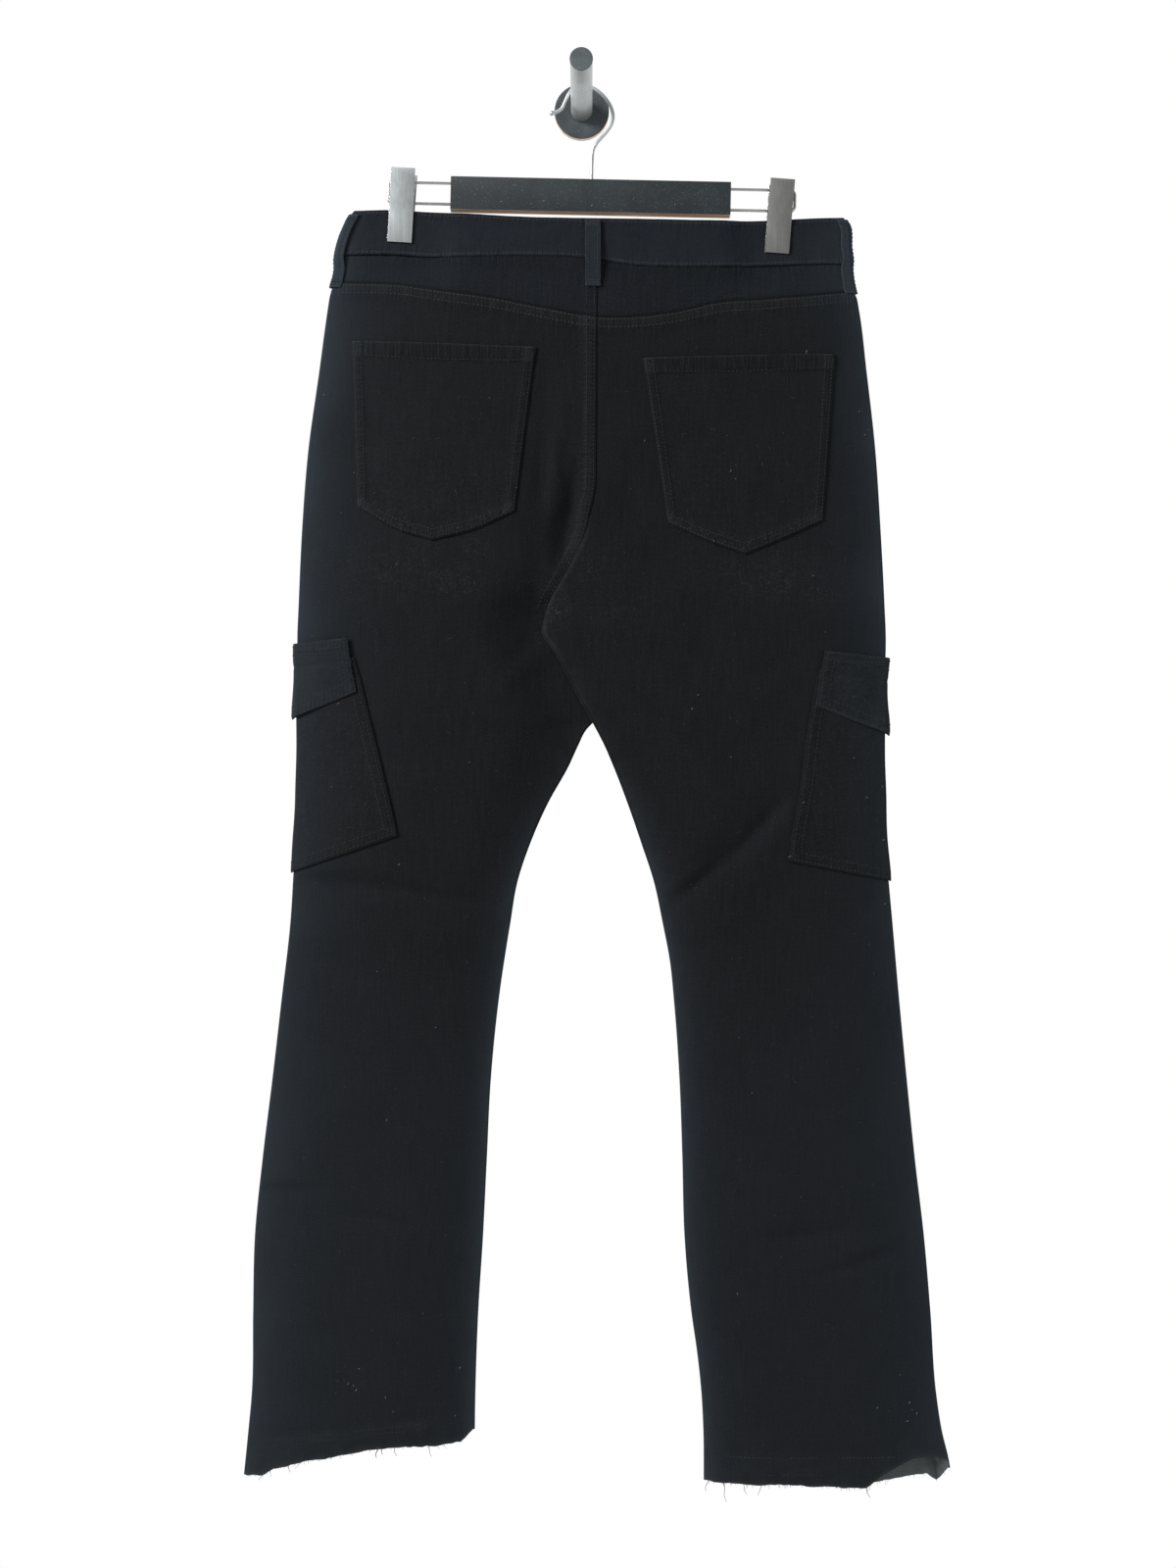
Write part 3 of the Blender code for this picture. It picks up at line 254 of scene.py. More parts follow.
# Fineness of the shells.
LEG_STEP, ROW_STEP, BAND_STEP = 4.4, 3.4, 1.7
EDGE_STEPS = (0.7, 1.7, 3.1)  # the first rows and columns in from an edge
HEM_STEPS = (0.6, 1.5, 2.8)
FOLD_TURN = 0.9  # radius by which a panel's edge turns in at a side seam or inseam
TURN_ANGLES = (np.pi / 5, np.pi / 2.6, np.pi / 2.05)
EDGE_INSET = 1.1  # the turned edge and half the cloth lie past the solids' edge by this
SETTLING = 4  # rounds in which a grid's places and the lines they follow come to agree


# --- small helpers -----------------------------------------------------------------------
def smoothstep(value, low, high):
    t = np.clip((value - low) / (high - low), 0, 1)
    return t * t * (3 - 2 * t)


def mix(a, b, share):
    return a + (b - a) * share


def bump(distance, width):
    return np.exp(-((distance / width) ** 2))


def unit(vectors):
    return vectors / (np.linalg.norm(vectors, axis=-1, keepdims=True) + 1e-9)


def stacked(*parts):
    """Vectors from numbers or arrays for their x, y and z."""
    return np.stack(np.broadcast_arrays(*parts), -1)


def reach_along(points):
    """How far along a path each of its points lies."""
    steps = np.linalg.norm(np.diff(np.asarray(points, float), axis=0), axis=1)
    return np.concatenate([[0], np.cumsum(steps)])


def curve_through(table, column=1):
    """A smooth function through one column of a table, over its first column."""
    rows = sorted(table)
    at = np.array([row[0] for row in rows], float)
    value = np.array([row[column] for row in rows], float)
    slope = np.gradient(value, at)

    def read(place):
        place = np.clip(place, at[0], at[-1])
        i = np.clip(np.searchsorted(at, place) - 1, 0, len(at) - 2)
        span = at[i + 1] - at[i]
        t = (place - at[i]) / span
        return (
            (2 * t**3 - 3 * t**2 + 1) * value[i]
            + (t**3 - 2 * t**2 + t) * span * slope[i]
            + (3 * t**2 - 2 * t**3) * value[i + 1]
            + (t**3 - t**2) * span * slope[i + 1]
        )

    return read


def line_through(table):
    at, value = zip(*sorted(table), strict=True)
    return lambda place: np.interp(place, at, value)


LATTICE = 64


def soft_noise(x, z, size, seed):
    """Smooth random values from -1 to 1 over the plane, with patches of a given size."""
    lattice = np.random.default_rng(seed).uniform(-1, 1, (LATTICE, LATTICE))
    u = np.asarray(x, float) / size + LATTICE / 2
    v = np.asarray(z, float) / size + 8 * LATTICE
    i, j = np.floor(u).astype(int), np.floor(v).astype(int)
    a, b = u - i, v - j
    a, b = a * a * (3 - 2 * a), b * b * (3 - 2 * b)

    def row(k):
        return mix(lattice[i % LATTICE, k % LATTICE], lattice[(i + 1) % LATTICE, k % LATTICE], a)

    return mix(row(j), row(j + 1), b)


def rubbed(x, z, size, seed):
    """How patchily an edge is rubbed, from 0 to 1."""
    return 0.5 + 0.5 * soft_noise(x, z, size, seed)


def spaced(length, step, ends=EDGE_STEPS):
    """Shares from 0 to 1 along a length, a step apart but closer at both ends."""
    inner = np.linspace(ends[-1], length - ends[-1], max(3, round(length / step)))
    last = (length - e for e in reversed(ends[:-1]))
    return np.array([0, *ends[:-1], *inner, *last, length]) / length


outer_edge = {"left": curve_through(OUTLINE, 1), "right": curve_through(OUTLINE, 2)}
# Each side's leading seam line: it bounds the face that lies on top at the crotch.
seam_line = {
    "left": curve_through(FRONT_SEAM_AND_LEFT_INSEAM),
    "right": curve_through(BACK_SEAM_AND_RIGHT_INSEAM),
}
fullness = curve_through(FULLNESS)
band_upper, band_lower = curve_through(BAND_UPPER), curve_through(BAND_LOWER)
yoke_seam, front_top = curve_through(YOKE_SEAM), curve_through(FRONT_TOP)
hem_line = {piece: line_through(table) for piece, table in HEM.items()}


# --- the cloth's shape -------------------------------------------------------------------
def leads(side, face):
    """Whether this face lies on top where the legs overlap below the crotch."""
    return (side, face) in (("right", "back"), ("left", "front"))


def inner_edge(side, face, z):
    """x of a piece's seam on its inner side: the middle seam, then the inseam."""
    if leads(side, face):
        return seam_line[side](z)
    crossed = smoothstep(-z, -CROSS_TOP_Z, -CROSS_END_Z)
    return mix(seam_line[OTHER[side]](z), seam_line[side](z), crossed)


CLIP_MIDDLES = {"left": (-148.4, -87.0), "right": (163.2, -96.0)}
PINCH_WIDTH, PINCH_HEIGHT, PINCH_Z = 40.0, 50.0, -104.0


def clip_pinch(x, z):
    """How far a clip presses the two faces together, from 0 to 1."""
    near = sum(np.exp(-(((x - middle) / PINCH_WIDTH) ** 4)) for middle, _ in CLIP_MIDDLES.values())
    return np.minimum(near, 1.0) * np.exp(-(((z - PINCH_Z) / PINCH_HEIGHT) ** 4))


def rounded_depth(x, z, start, end, power):
    """How far the cloth stands out past where it is pressed, between two edges."""
    across = np.clip((x - start) / (end - start), 0, 1)
    return (fullness(z) - PRESSED) * (1 - np.abs(2 * across - 1) ** power)


def body_depth(x, z):
    full = rounded_depth(x, z, outer_edge["left"](z), outer_edge["right"](z), BODY_ROUND)
    return PRESSED + full * (1 - clip_pinch(x, z))


def leg_depth(side, x, z):
    inner = seam_line[side](np.minimum(z, CROTCH_Z))
    return PRESSED + rounded_depth(x, z, inner, outer_edge[side](z), LEG_ROUND)


def overlapping(z):
    return smoothstep(z, UNTUCKED_Z, SPLIT_Z)


def leading_depth(side, x, z):
    inner = seam_line[side](np.minimum(z, CROTCH_Z))
    near_edge = 1 - smoothstep(np.abs(x - inner), 0, 60)
    return leg_depth(side, x, z) + LANE * near_edge * overlapping(z)


def tucked_depth(side, x, z):
    """The face that slips behind the other leg, past that leg's edge."""
    depth = leg_depth(side, x, z)
    edge = np.where(z > SPLIT_Z, seam_line[OTHER[side]](z), seam_line[side](z))
    under = smoothstep(SIDEWAYS[side] * (edge - x), -62, -2)
    joined = leading_depth(OTHER[side], edge, z)
    behind = mix(joined, -PRESSED, smoothstep(-z, 400, -CROSS_TOP_Z - 2))
    return depth - overlapping(z) * under * (depth - behind)


def creasing(table, side, face, x, z):
    """How far the folds or creases of a table stand out of a face."""
    height = 0.0 * x
    for x0, z0, x1, z1, width, rise in table[side, face]:
        along = (x - x0) * (x1 - x0) + (z - z0) * (z1 - z0)
        t = np.clip(along / ((x1 - x0) ** 2 + (z1 - z0) ** 2), 0, 1)
        away = np.hypot(x - mix(x0, x1, t), z - mix(z0, z1, t))
        height += rise * bump(away, width) * (0.35 + 0.65 * np.sin(np.pi * t))
    return height


def face_depth(side, face, x, z):
    """Middle plane to the middle of the cloth, at a place on one face of one side."""
    legs = leading_depth(side, x, z) if leads(side, face) else tucked_depth(side, x, z)
    depth = mix(body_depth(x, z), legs, smoothstep(-z, 330, -CROTCH_Z))
    to_edge = np.minimum(np.abs(x - outer_edge[side](z)), np.abs(x - seam_line[side](z)))
    loose = smoothstep(to_edge, 4, 30)
    seed = 11 if face == "back" else 23
    waves = 0.55 * soft_noise(x, z, 58, seed) + 0.3 * soft_noise(x, z, 27, seed + 1)
    crisp = CRISPNESS * smoothstep(to_edge, 1, 9) * creasing(CREASES, side, face, x, z)
    return depth + loose * (creasing(FOLDS, side, face, x, z) + waves) + crisp


def band_depth(side, face, x, z):
    return np.hypot(face_depth(side, face, x, z), BAND_PRESSED)


def on_face(side, face, x, z, out=0.0):
    x, z = np.broadcast_arrays(np.asarray(x, float), np.asarray(z, float))
    return stacked(x, PLANE_Y + OUTWARD[face] * (face_depth(side, face, x, z) + out), z)


def round_side(side, z, along, depth=face_depth, out=0.0):
    """Places round the side fold: along is the distance from it, over 0 on the back."""
    along, z, out = np.broadcast_arrays(np.asarray(along, float), np.asarray(z, float), out)
    edge = outer_edge[side](z)
    radius = PRESSED + out if depth is face_depth else np.hypot(PRESSED, BAND_PRESSED) + out
    quarter = radius * np.pi / 2
    angle = np.clip(along / radius, -np.pi / 2, np.pi / 2)
    past = np.maximum(np.abs(along) - quarter, 0)
    x_flat = edge - SIDEWAYS[side] * past
    back, front = (depth(side, face, x_flat, z) + out for face in ("back", "front"))
    turned_in = np.abs(along) <= quarter
    x = np.where(turned_in, edge + SIDEWAYS[side] * radius * np.cos(angle), x_flat)
    y = np.where(turned_in, -radius * np.sin(angle), np.where(along > 0, -back, front))
    return stacked(x, PLANE_Y + y, z)


# --- materials ---------------------------------------------------------------------------
class Nodes:
    """A material or a world under construction: adds nodes and joins them up."""

    def __init__(self, made, shader="Principled BSDF"):
        made.use_nodes = True
        self.made, self.tree = made, made.node_tree
        self.shader = self.tree.nodes[shader]

    def add(self, kind, inputs=(), **settings):
        node = self.tree.nodes.new(kind)
        for key, value in settings.items():
            setattr(node, key, value)
        for key, value in dict(inputs).items():
            self.set(node, key, value)
        return node

    def set(self, node, key, value):
        if isinstance(value, bpy.types.NodeSocket):
            self.tree.links.new(value, node.inputs[key])
        else:
            node.inputs[key].default_value = value

    def shade(self, **inputs):
        for key, value in inputs.items():
            self.set(self.shader, key.replace("_", " "), value)
        return self.made

    def place(self):
        return self.add("ShaderNodeTexCoord").outputs["Object"]

    def math(self, operation, a, b=0.0, c=0.0):
        return self.add("ShaderNodeMath", {0: a, 1: b, 2: c}, operation=operation).outputs[0]

    def times(self, a, b):
        return self.math("MULTIPLY", a, b)

    def plus(self, total, value, share):
        return self.math("MULTIPLY_ADD", value, share, total)

    def carried(self, attribute):
        """A vector that the mesh carries at each point."""
        return self.add("ShaderNodeAttribute", attribute_name=attribute).outputs["Vector"]

    def parts(self, vector):
        return self.add("ShaderNodeSeparateXYZ", {0: vector}).outputs

    def noise(self, vector, scale, detail=2.0, roughness=0.5):
        inputs = {"Vector": vector, "Scale": scale, "Detail": detail, "Roughness": roughness}
        return self.add("ShaderNodeTexNoise", inputs).outputs["Fac"]

    def ramp(self, value, low, high, **ends):
        inputs = {"Value": value, "From Min": low, "From Max": high}
        inputs |= {key.replace("_", " "): end for key, end in ends.items()}
        return self.add("ShaderNodeMapRange", inputs, interpolation_type="SMOOTHSTEP").outputs[0]

    def blend(self, share, a, b):
        return self.add("ShaderNodeMix", {0: share, 6: a, 7: b}, data_type="RGBA").outputs[2]

    def stretched(self, vector, scale, turn=0.0):
        inputs = {"Vector": vector, "Scale": scale, "Rotation": (0, 0, turn)}
        return self.add("ShaderNodeMapping", inputs).outputs[0]

    def raised(self, height, distance, strength=1.0, below=None):
        inputs = {"Height": height, "Distance": distance * MM, "Strength": strength}
        if below is not None:
            inputs["Normal"] = below
        return self.add("ShaderNodeBump", inputs).outputs[0]


def material(name):
    return Nodes(bpy.data.materials.new(name))


def colour(r, g, b):
    return (r, g, b, 1)


TWILL_PER_MM, TWILL_LEAN = 1.05, math.radians(27)
# The second colour is painted shade: seam grooves and patch edges are darkened towards it.
PILL_GREY, PAINTED_SHADE_BLACK = colour(0.05, 0.055, 0.058), colour(0.0012, 0.0013, 0.0014)
# Painted sheen: cloth towards the side folds is blended towards these paler, bluer colours.
PAINTED_SHEEN_DARK, PAINTED_SHEEN_LIGHT = colour(0.021, 0.029, 0.036), colour(0.0195, 0.027, 0.0345)


def denim(name, dark, light, faded, lighter=0.0):
    """Black stretch twill. The mesh carries where it is (weave, mm across and down), how worn and
    pilled it is and how far painted sheen pales it towards the sides (wear), and where seams pucker
    it and painted shade darkens it (the pucker and shade attribute)."""
    m = material(name)
    weave = m.carried("weave")
    wear, pilling, sides = m.parts(m.carried("wear"))
    ribs_down, ribs_across, shadow = m.parts(m.carried("pucker_and_shade"))

    def drawn_out(across, down, detail=3, roughness=0.6):
        return m.noise(m.stretched(weave, (across, down, 1)), 1.0, detail, roughness)

    diagonal = m.stretched(weave, (TWILL_PER_MM, TWILL_PER_MM, 1), TWILL_LEAN)
    wave = {"Vector": diagonal, "Scale": 0.5, "Distortion": 1.6, "Detail": 1.5, "Detail Scale": 1.4}
    twill = m.add("ShaderNodeTexWave", wave, wave_type="BANDS", bands_direction="X").outputs["Fac"]
    yarns, slubs = drawn_out(1.9, 0.35), drawn_out(0.62, 0.05)
    fuzz = m.noise(weave, 2.6, 3, 0.65)
    ripples = m.math(
        "ADD", m.times(drawn_out(0.44, 0.03, 2, 0.5), ribs_down),
        m.times(drawn_out(0.03, 0.44, 2, 0.5), ribs_across),
    )
    tone = m.plus(0.02 + lighter, twill, 0.2)
    for value, low, high, share in (
        (yarns, 0.35, 0.75, 0.26), (slubs, 0.35, 0.75, 0.16),
        (m.noise(weave, 0.022, 4, 0.55), 0.35, 0.7, 0.10),
    ):
        tone = m.plus(tone, m.ramp(value, low, high), share)
    for value, share in (
        (drawn_out(0.5, 0.028, 3, 0.65), 1.0), (drawn_out(0.03, 0.42, 3, 0.65), 0.35),
        (m.noise(weave, 0.75, 2, 0.75), 2.7),
    ):
        tone = m.plus(tone, m.math("SUBTRACT", value, 0.5), share)
    tone = m.plus(tone, m.ramp(m.noise(weave, 0.62, 2, 0.6), 0.6, 0.8), 0.1)
    tone = m.plus(tone, m.ramp(ripples, 0.35, 0.72), 0.6)
    tone = m.plus(tone, m.math("MAXIMUM", ribs_down, ribs_across), -0.16)
    shade = m.blend(tone, dark, light)
    # Painted sheen: the third number of wear blends the cloth towards paler, bluer colours near the
    # side folds.
    shade = m.blend(sides, shade, m.blend(m.ramp(yarns, 0.2, 0.8), PAINTED_SHEEN_DARK, PAINTED_SHEEN_LIGHT))
    haze = m.times(m.ramp(m.noise(weave, 0.11, 4, 0.7), 0.42, 0.72), pilling)
    pills = m.times(m.ramp(m.noise(weave, 0.42, 3, 0.7), 0.54, 0.7), pilling)
    # The shadow blend among these is painted shade, darkening seam grooves and patch edges.
    for amount, share, over in (
        (m.times(wear, m.ramp(fuzz, 0.2, 0.62)), 0.6, faded), (haze, 0.13, PILL_GREY),
        (pills, 0.7, PILL_GREY), (shadow, 0.85, PAINTED_SHADE_BLACK),
    ):
        shade = m.blend(m.times(amount, share), shade, over)
    height = m.plus(m.math("ADD", m.times(twill, 0.6), m.times(yarns, 0.7)), fuzz, 0.35)
    soft = m.raised(m.noise(weave, 0.16, 3, 0.6), 0.8, 0.5)
    puckered = m.raised(ripples, 1.7, 1.0, soft)
    return m.shade(
        Base_Color=shade, Roughness=0.93, Specular_IOR_Level=0.1, Sheen_Weight=0.05,
        Sheen_Roughness=0.4, Sheen_Tint=(0.72, 0.86, 1.0, 1),
        Normal=m.raised(height, 0.16, 0.75, puckered),
    )


def thread_material(name, low, high):
    m = material(name)
    twist = m.noise(m.place(), 2400.0, 2, 0.6)
    return m.shade(
        Base_Color=m.blend(m.ramp(twist, 0.35, 0.7), low, high), Roughness=0.72,
        Specular_IOR_Level=0.25, Sheen_Weight=0.1, Normal=m.raised(twist, 0.12, 0.6),
    )


def loose_thread_material(name, low, high):
    m = material(name)
    tint = m.blend(m.ramp(m.noise(m.place(), 260.0, 2), 0.3, 0.7), low, high)
    return m.shade(Base_Color=tint, Roughness=0.9, Specular_IOR_Level=0.2)


def brushed(name, full, roughness, grain, depth=0.02):
    """Metal with fine scratches along one direction: grain is their scale on each axis."""
    m = material(name)
    place = m.place()
    lines = m.noise(m.stretched(place, grain), 1.0, 4, 0.65)
    smudges = m.noise(place, 55.0, 3, 0.55)
    worn = m.ramp(m.noise(place, 420.0, 3, 0.6), 0.55, 0.75)
    dim, dull = (colour(*(c * share for c in full)) for share in (0.8, 0.55))
    tint = m.blend(m.ramp(lines, 0.25, 0.8), dim, colour(*full))
    return m.shade(
        Base_Color=m.blend(m.times(worn, 0.25), tint, dull), Metallic=1.0,
        Roughness=m.plus(roughness, m.ramp(smudges, 0.3, 0.7), 0.14),
        Normal=m.raised(lines, depth, 0.6),
    )


def painted(name, paint, dusty, roughness, dust_amount):
    """Black paint or plastic with fine dust and a faint orange-peel."""
    m = material(name)
    place = m.place()
    grain = m.noise(m.stretched(place, (60, 900, 900)), 1.0, 3, 0.6)
    dust = m.ramp(m.noise(place, 900.0, 3, 0.7), 0.62, 0.72)
    film = m.ramp(m.noise(place, 42.0, 4, 0.6), 0.35, 0.75)
    base = m.blend(m.times(film, dust_amount), colour(*paint), colour(*dusty))
    base = m.blend(m.times(dust, 2.4 * dust_amount), base, colour(0.22, 0.23, 0.23))
    return m.shade(
        Base_Color=base, Roughness=m.plus(roughness, film, 0.2), Specular_IOR_Level=0.35,
        Normal=m.raised(grain, 0.08, 0.35),
    )


def bare_wood(name, dark, light):
    m = material(name)
    rings = m.noise(m.stretched(m.place(), (14, 500, 500)), 1.0, 4, 0.6)
    tint = m.blend(m.ramp(rings, 0.3, 0.7), dark, light)
    return m.shade(Base_Color=tint, Roughness=0.75, Normal=m.raised(rings, 0.1, 0.5))


BLACK_DENIM = (
    colour(0.0026, 0.0028, 0.0033), colour(0.0082, 0.0090, 0.0107), colour(0.033, 0.040, 0.045),
)
BLUER = tuple(colour(0.93 * r, 1.06 * g, 1.18 * b) for r, g, b, _ in BLACK_DENIM)
cloth_face = denim("denim_face", *BLACK_DENIM)
cloth_yoke = denim("denim_yoke", *BLUER, 0.12)
cloth_pocket = denim("denim_pocket", *BLACK_DENIM, 0.05)
cloth_trim = denim("denim_trim", *BLUER, 0.5)
cloth_reverse = denim(
    "denim_reverse", colour(0.014, 0.016, 0.017), colour(0.066, 0.073, 0.076),
    colour(0.125, 0.138, 0.142),
)
zip_tape = denim(
    "zip_tape", colour(0.006, 0.006, 0.007), colour(0.018, 0.018, 0.02), colour(0.03, 0.03, 0.032)
)
sewing_thread = thread_material(
    "thread", colour(0.005, 0.0062, 0.0075), colour(0.016, 0.0195, 0.023)
)
dark_thread = thread_material(
    "dark_thread", colour(0.0018, 0.0021, 0.0025), colour(0.0058, 0.0066, 0.0078)
)
DARK_SEWING = ("stitches_pockets", "stitches_cargo", "stitches_faint")
fray_thread = loose_thread_material(
    "fray_thread", colour(0.012, 0.014, 0.016), colour(0.05, 0.056, 0.06)
)
lint_fibre = loose_thread_material(
    "lint_fibre", colour(0.03, 0.033, 0.035), colour(0.24, 0.25, 0.255)
)
fluff_fibre = loose_thread_material(
    "fluff_fibre", colour(0.010, 0.0115, 0.013), colour(0.042, 0.046, 0.05)
)
zip_metal = brushed("zip_metal", (0.10, 0.10, 0.10), 0.38, (300, 300, 300))
button_metal = brushed("button_metal", (0.24, 0.235, 0.225), 0.3, (260, 260, 260), 0.03)
# The two clips are alike; the left one's steel is made lighter and the right one's darker, as
# painted light and painted shade.
clip_steel = {
    "left": brushed("clip_steel_left", (0.345, 0.365, 0.37), 0.6, (700, 700, 14)),
    "right": brushed("clip_steel_right", (0.21, 0.21, 0.207), 0.6, (700, 700, 14)),
}
clip_rim = brushed("clip_rim", (0.74, 0.76, 0.76), 0.35, (60, 60, 60), 0.0)
wire_steel = brushed("wire_steel", (0.50, 0.50, 0.49), 0.22, (30, 90, 90), 0.0)
hook_steel = brushed("hook_steel", (0.50, 0.52, 0.53), 0.42, (30, 90, 90), 0.0)
peg_steel = brushed("peg_steel", (0.56, 0.58, 0.58), 0.42, (500, 10, 500), 0.012)
bar_paint = painted("bar_paint", (0.0085, 0.0128, 0.0158), (0.026, 0.038, 0.045), 0.55, 0.22)
peg_paint = painted("peg_paint", (0.028, 0.035, 0.038), (0.080, 0.096, 0.104), 0.45, 0.35)
cap_plastic = painted("cap_plastic", (0.050, 0.060, 0.064), (0.13, 0.15, 0.158), 0.36, 0.4)
wood = bare_wood("bare_wood", colour(0.50, 0.28, 0.15), colour(0.85, 0.58, 0.38))
plate_rim = bare_wood("plate_rim", colour(0.50, 0.37, 0.31), colour(0.80, 0.66, 0.57))


# --- making pieces -----------------------------------------------------------------------
def linked(made):
    bpy.context.scene.collection.objects.link(made)
    return made


def as_piece(name, mesh, materials, node=None):
    for looks in materials:
        mesh.materials.append(looks)
    made = linked(bpy.data.objects.new(name, mesh))
    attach(made, "root")
    if node:
        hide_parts(node)
    return made


def new_mesh(name, points, faces):
    """A smooth mesh from points in mm."""
    mesh = bpy.data.meshes.new(name)
    mesh.from_pydata((points.reshape(-1, 3) * MM).tolist(), [], faces)
    mesh.shade_smooth()
    return mesh


def write_closed(shape, mesh, sharp):
    """Writes a bmesh with its faces outward: smooth, but sharp past an angle in degrees."""
    bmesh.ops.recalc_face_normals(shape, faces=shape.faces)
    shape.to_mesh(mesh)
    shape.free()
    mesh.shade_smooth()
    mesh.set_sharp_from_angle(angle=math.radians(sharp))
    return mesh


def cell_sides(grid):
    """The two edges that meet at the first corner of each cell of a grid."""
    return grid[:-1, 1:] - grid[:-1, :-1], grid[1:, :-1] - grid[:-1, :-1]


def grid_mesh(name, grid, outward):
    """A mesh of quads through an array of points (rows, columns, 3) in mm, facing outward:
    a direction, or None for a piece that goes round the jeans' middle plane."""
    index = np.arange(grid[..., 0].size).reshape(grid.shape[:2])
    corners = index[:-1, :-1], index[:-1, 1:], index[1:, 1:], index[1:, :-1]
    quads = np.stack(corners, -1).reshape(-1, 4)
    if outward is None:
        outward = (grid[:-1, :-1] - (0, PLANE_Y, 0)) * (0, 1, 0)
    if np.sum(np.cross(*cell_sides(grid)) * outward) < 0:
        quads = quads[:, ::-1]
    return new_mesh(name, grid, quads.tolist())


def carry(mesh, name, *parts):
    """Gives each point of a grid's mesh three numbers."""
    values = stacked(*parts).astype(np.float32)
    mesh.attributes.new(name, "FLOAT_VECTOR", "POINT").data.foreach_set("vector", values.ravel())


# The third number of wear is painted sheen towards the sides, and the third of the pucker and shade
# attribute is painted shade in seams and along edges.
FINISH_AND_PAINTED_LIGHT = {"wear": ("wear", "pilling", "faded"), "pucker_and_shade": ("ribs_down", "ribs_across", "shadow")}


def cloth(node, grid, thickness, outward, name=None, across=None, looks=None, turns=(0, 0),
          **finish_and_painted_light):
    """A shell of cloth round a grid of its middle points, in place of a node. It carries its weave,
    its finish and its painted sheen and shade; turns says whether its first and last edges are
    turned in, and those columns take the finish and painted light of the one beside them."""
    name = name or f"{node}_cloth"
    mesh = grid_mesh(name, grid, outward)
    carry(mesh, "weave", grid[..., 0] if across is None else across, grid[..., 2], 0.0)
    extra = [turn * len(TURN_ANGLES) for turn in turns]
    flat = grid.shape[0], grid.shape[1] - sum(extra)
    for attribute, parts in FINISH_AND_PAINTED_LIGHT.items():
        values = (np.broadcast_to(finish_and_painted_light.get(part, 0.0), flat) for part in parts)
        carry(mesh, attribute, *(np.pad(value, ((0, 0), extra), "edge") for value in values))
    made = as_piece(name, mesh, [looks or cloth_face, cloth_reverse], node)
    wall = made.modifiers.new("wall", "SOLIDIFY")
    wall.thickness, wall.offset = thickness * MM, 0
    wall.use_quality_normals, wall.material_offset = True, 1
    return made


def declare_sheet(grid):
    """Works out the flat cut: the widest row, the longest column and the area between, which
    nothing uses.
    """
    width, length = (
        np.linalg.norm(np.diff(grid, axis=way), axis=-1).sum(way).max() * MM for way in (1, 0)
    )
    area = float(np.linalg.norm(np.cross(*cell_sides(grid)), axis=-1).sum()) * MM * MM
    area = min(area, width * length)


def turned(name, profile, looks, node, sides=64):
    """A round piece from (radius, distance) points in mm, turned about its own Z axis."""
    shape = bmesh.new()
    ring = [shape.verts.new((radius * MM, 0, along * MM)) for radius, along in profile]
    edges = [shape.edges.new(pair) for pair in zip(ring, ring[1:], strict=False)]
    bmesh.ops.spin(
        shape, geom=ring + edges, cent=(0, 0, 0), axis=(0, 0, 1),
        angle=math.tau, steps=sides, use_merge=True, use_duplicate=False,
    )
    bmesh.ops.remove_doubles(shape, verts=shape.verts, dist=1e-6)
    mesh = write_closed(shape, bpy.data.meshes.new(name), 40)
    return as_piece(name, mesh, [looks], node)


def rounded(corners, radius, steps=4):
    """A turned profile with its inner corners rounded: (radius, distance) points."""
    points = [Vector(c) for c in corners]
    out = [points[0]]
    for before, here, after in zip(points, points[1:], points[2:], strict=False):
        ways = before - here, after - here
        reach = min(radius, *(way.length / 2.1 for way in ways))
        start, end = (here + way.normalized() * reach for way in ways)
        for step in range(steps + 1):
            t = step / steps
            out.append(start * (1 - t) ** 2 + here * 2 * t * (1 - t) + end * t**2)
    return [tuple(p) for p in (*out, points[-1])]


def smooth_path(points, step):
    """Even points on a smooth curve through given ones."""
    points = np.array(points, float)
    reach = reach_along(points)
    at = np.linspace(0, reach[-1], max(4, round(reach[-1] / step)))
    table = np.column_stack([reach, points]).tolist()
    return np.stack([curve_through(table, column)(at) for column in (1, 2, 3)], -1)


def ring_quads(count, sides):
    """The quads between successive rings of points."""
    a = np.arange((count - 1) * sides)
    b = a - a % sides + (a + 1) % sides
    return np.stack([a, b, b + sides, a + sides], 1)


def tube_mesh(name, paths, sides):
    """Tubes along point arrays in mm, joined in one mesh: [(points, radius at each point)]."""
    vertices, faces, base = [], [], 0
    angles = (np.arange(sides) * 2 * np.pi / sides)[:, None]
    for points, radii in paths:
        tangent = unit(np.gradient(points, axis=0))
        lengthwise = abs(tangent[:, 1]).mean() >= 0.8
        u = unit(np.cross(tangent, (1.0, 0.0, 0.0) if lengthwise else (0.0, 1.0, 0.0)))
        v = np.cross(tangent, u)
        ring = np.cos(angles) * u[:, None] + np.sin(angles) * v[:, None]
        vertices.append(points[:, None] + ring * np.asarray(radii)[:, None, None])
        faces += (base + ring_quads(len(points), sides)).tolist()
        last = base + (len(points) - 1) * sides
        faces += [range(base + sides - 1, base - 1, -1), range(last, last + sides)]
        base = last + sides
    mesh = new_mesh(name, np.concatenate([part.reshape(-1, 3) for part in vertices]), faces)
    shape = bmesh.new()
    shape.from_mesh(mesh)
    return write_closed(shape, mesh, 60)


# --- stitches ----------------------------------------------------------------------------
STITCH_PITCH, STITCH_LENGTH, STITCH_RADIUS = 3.3, 2.5, 0.34
STITCH_RINGS = (  # place along a stitch, thickness and lift, as shares
    (-1.0, 0.25, -0.5), (-0.66, 0.8, 0.2), (0.0, 1.0, 0.62), (0.66, 0.8, 0.2), (1.0, 0.25, -0.5),
)
STITCH_SIDES = 5
stitch_runs = {}  # piece name: [(middles, half-stitch vectors, outward normals)]


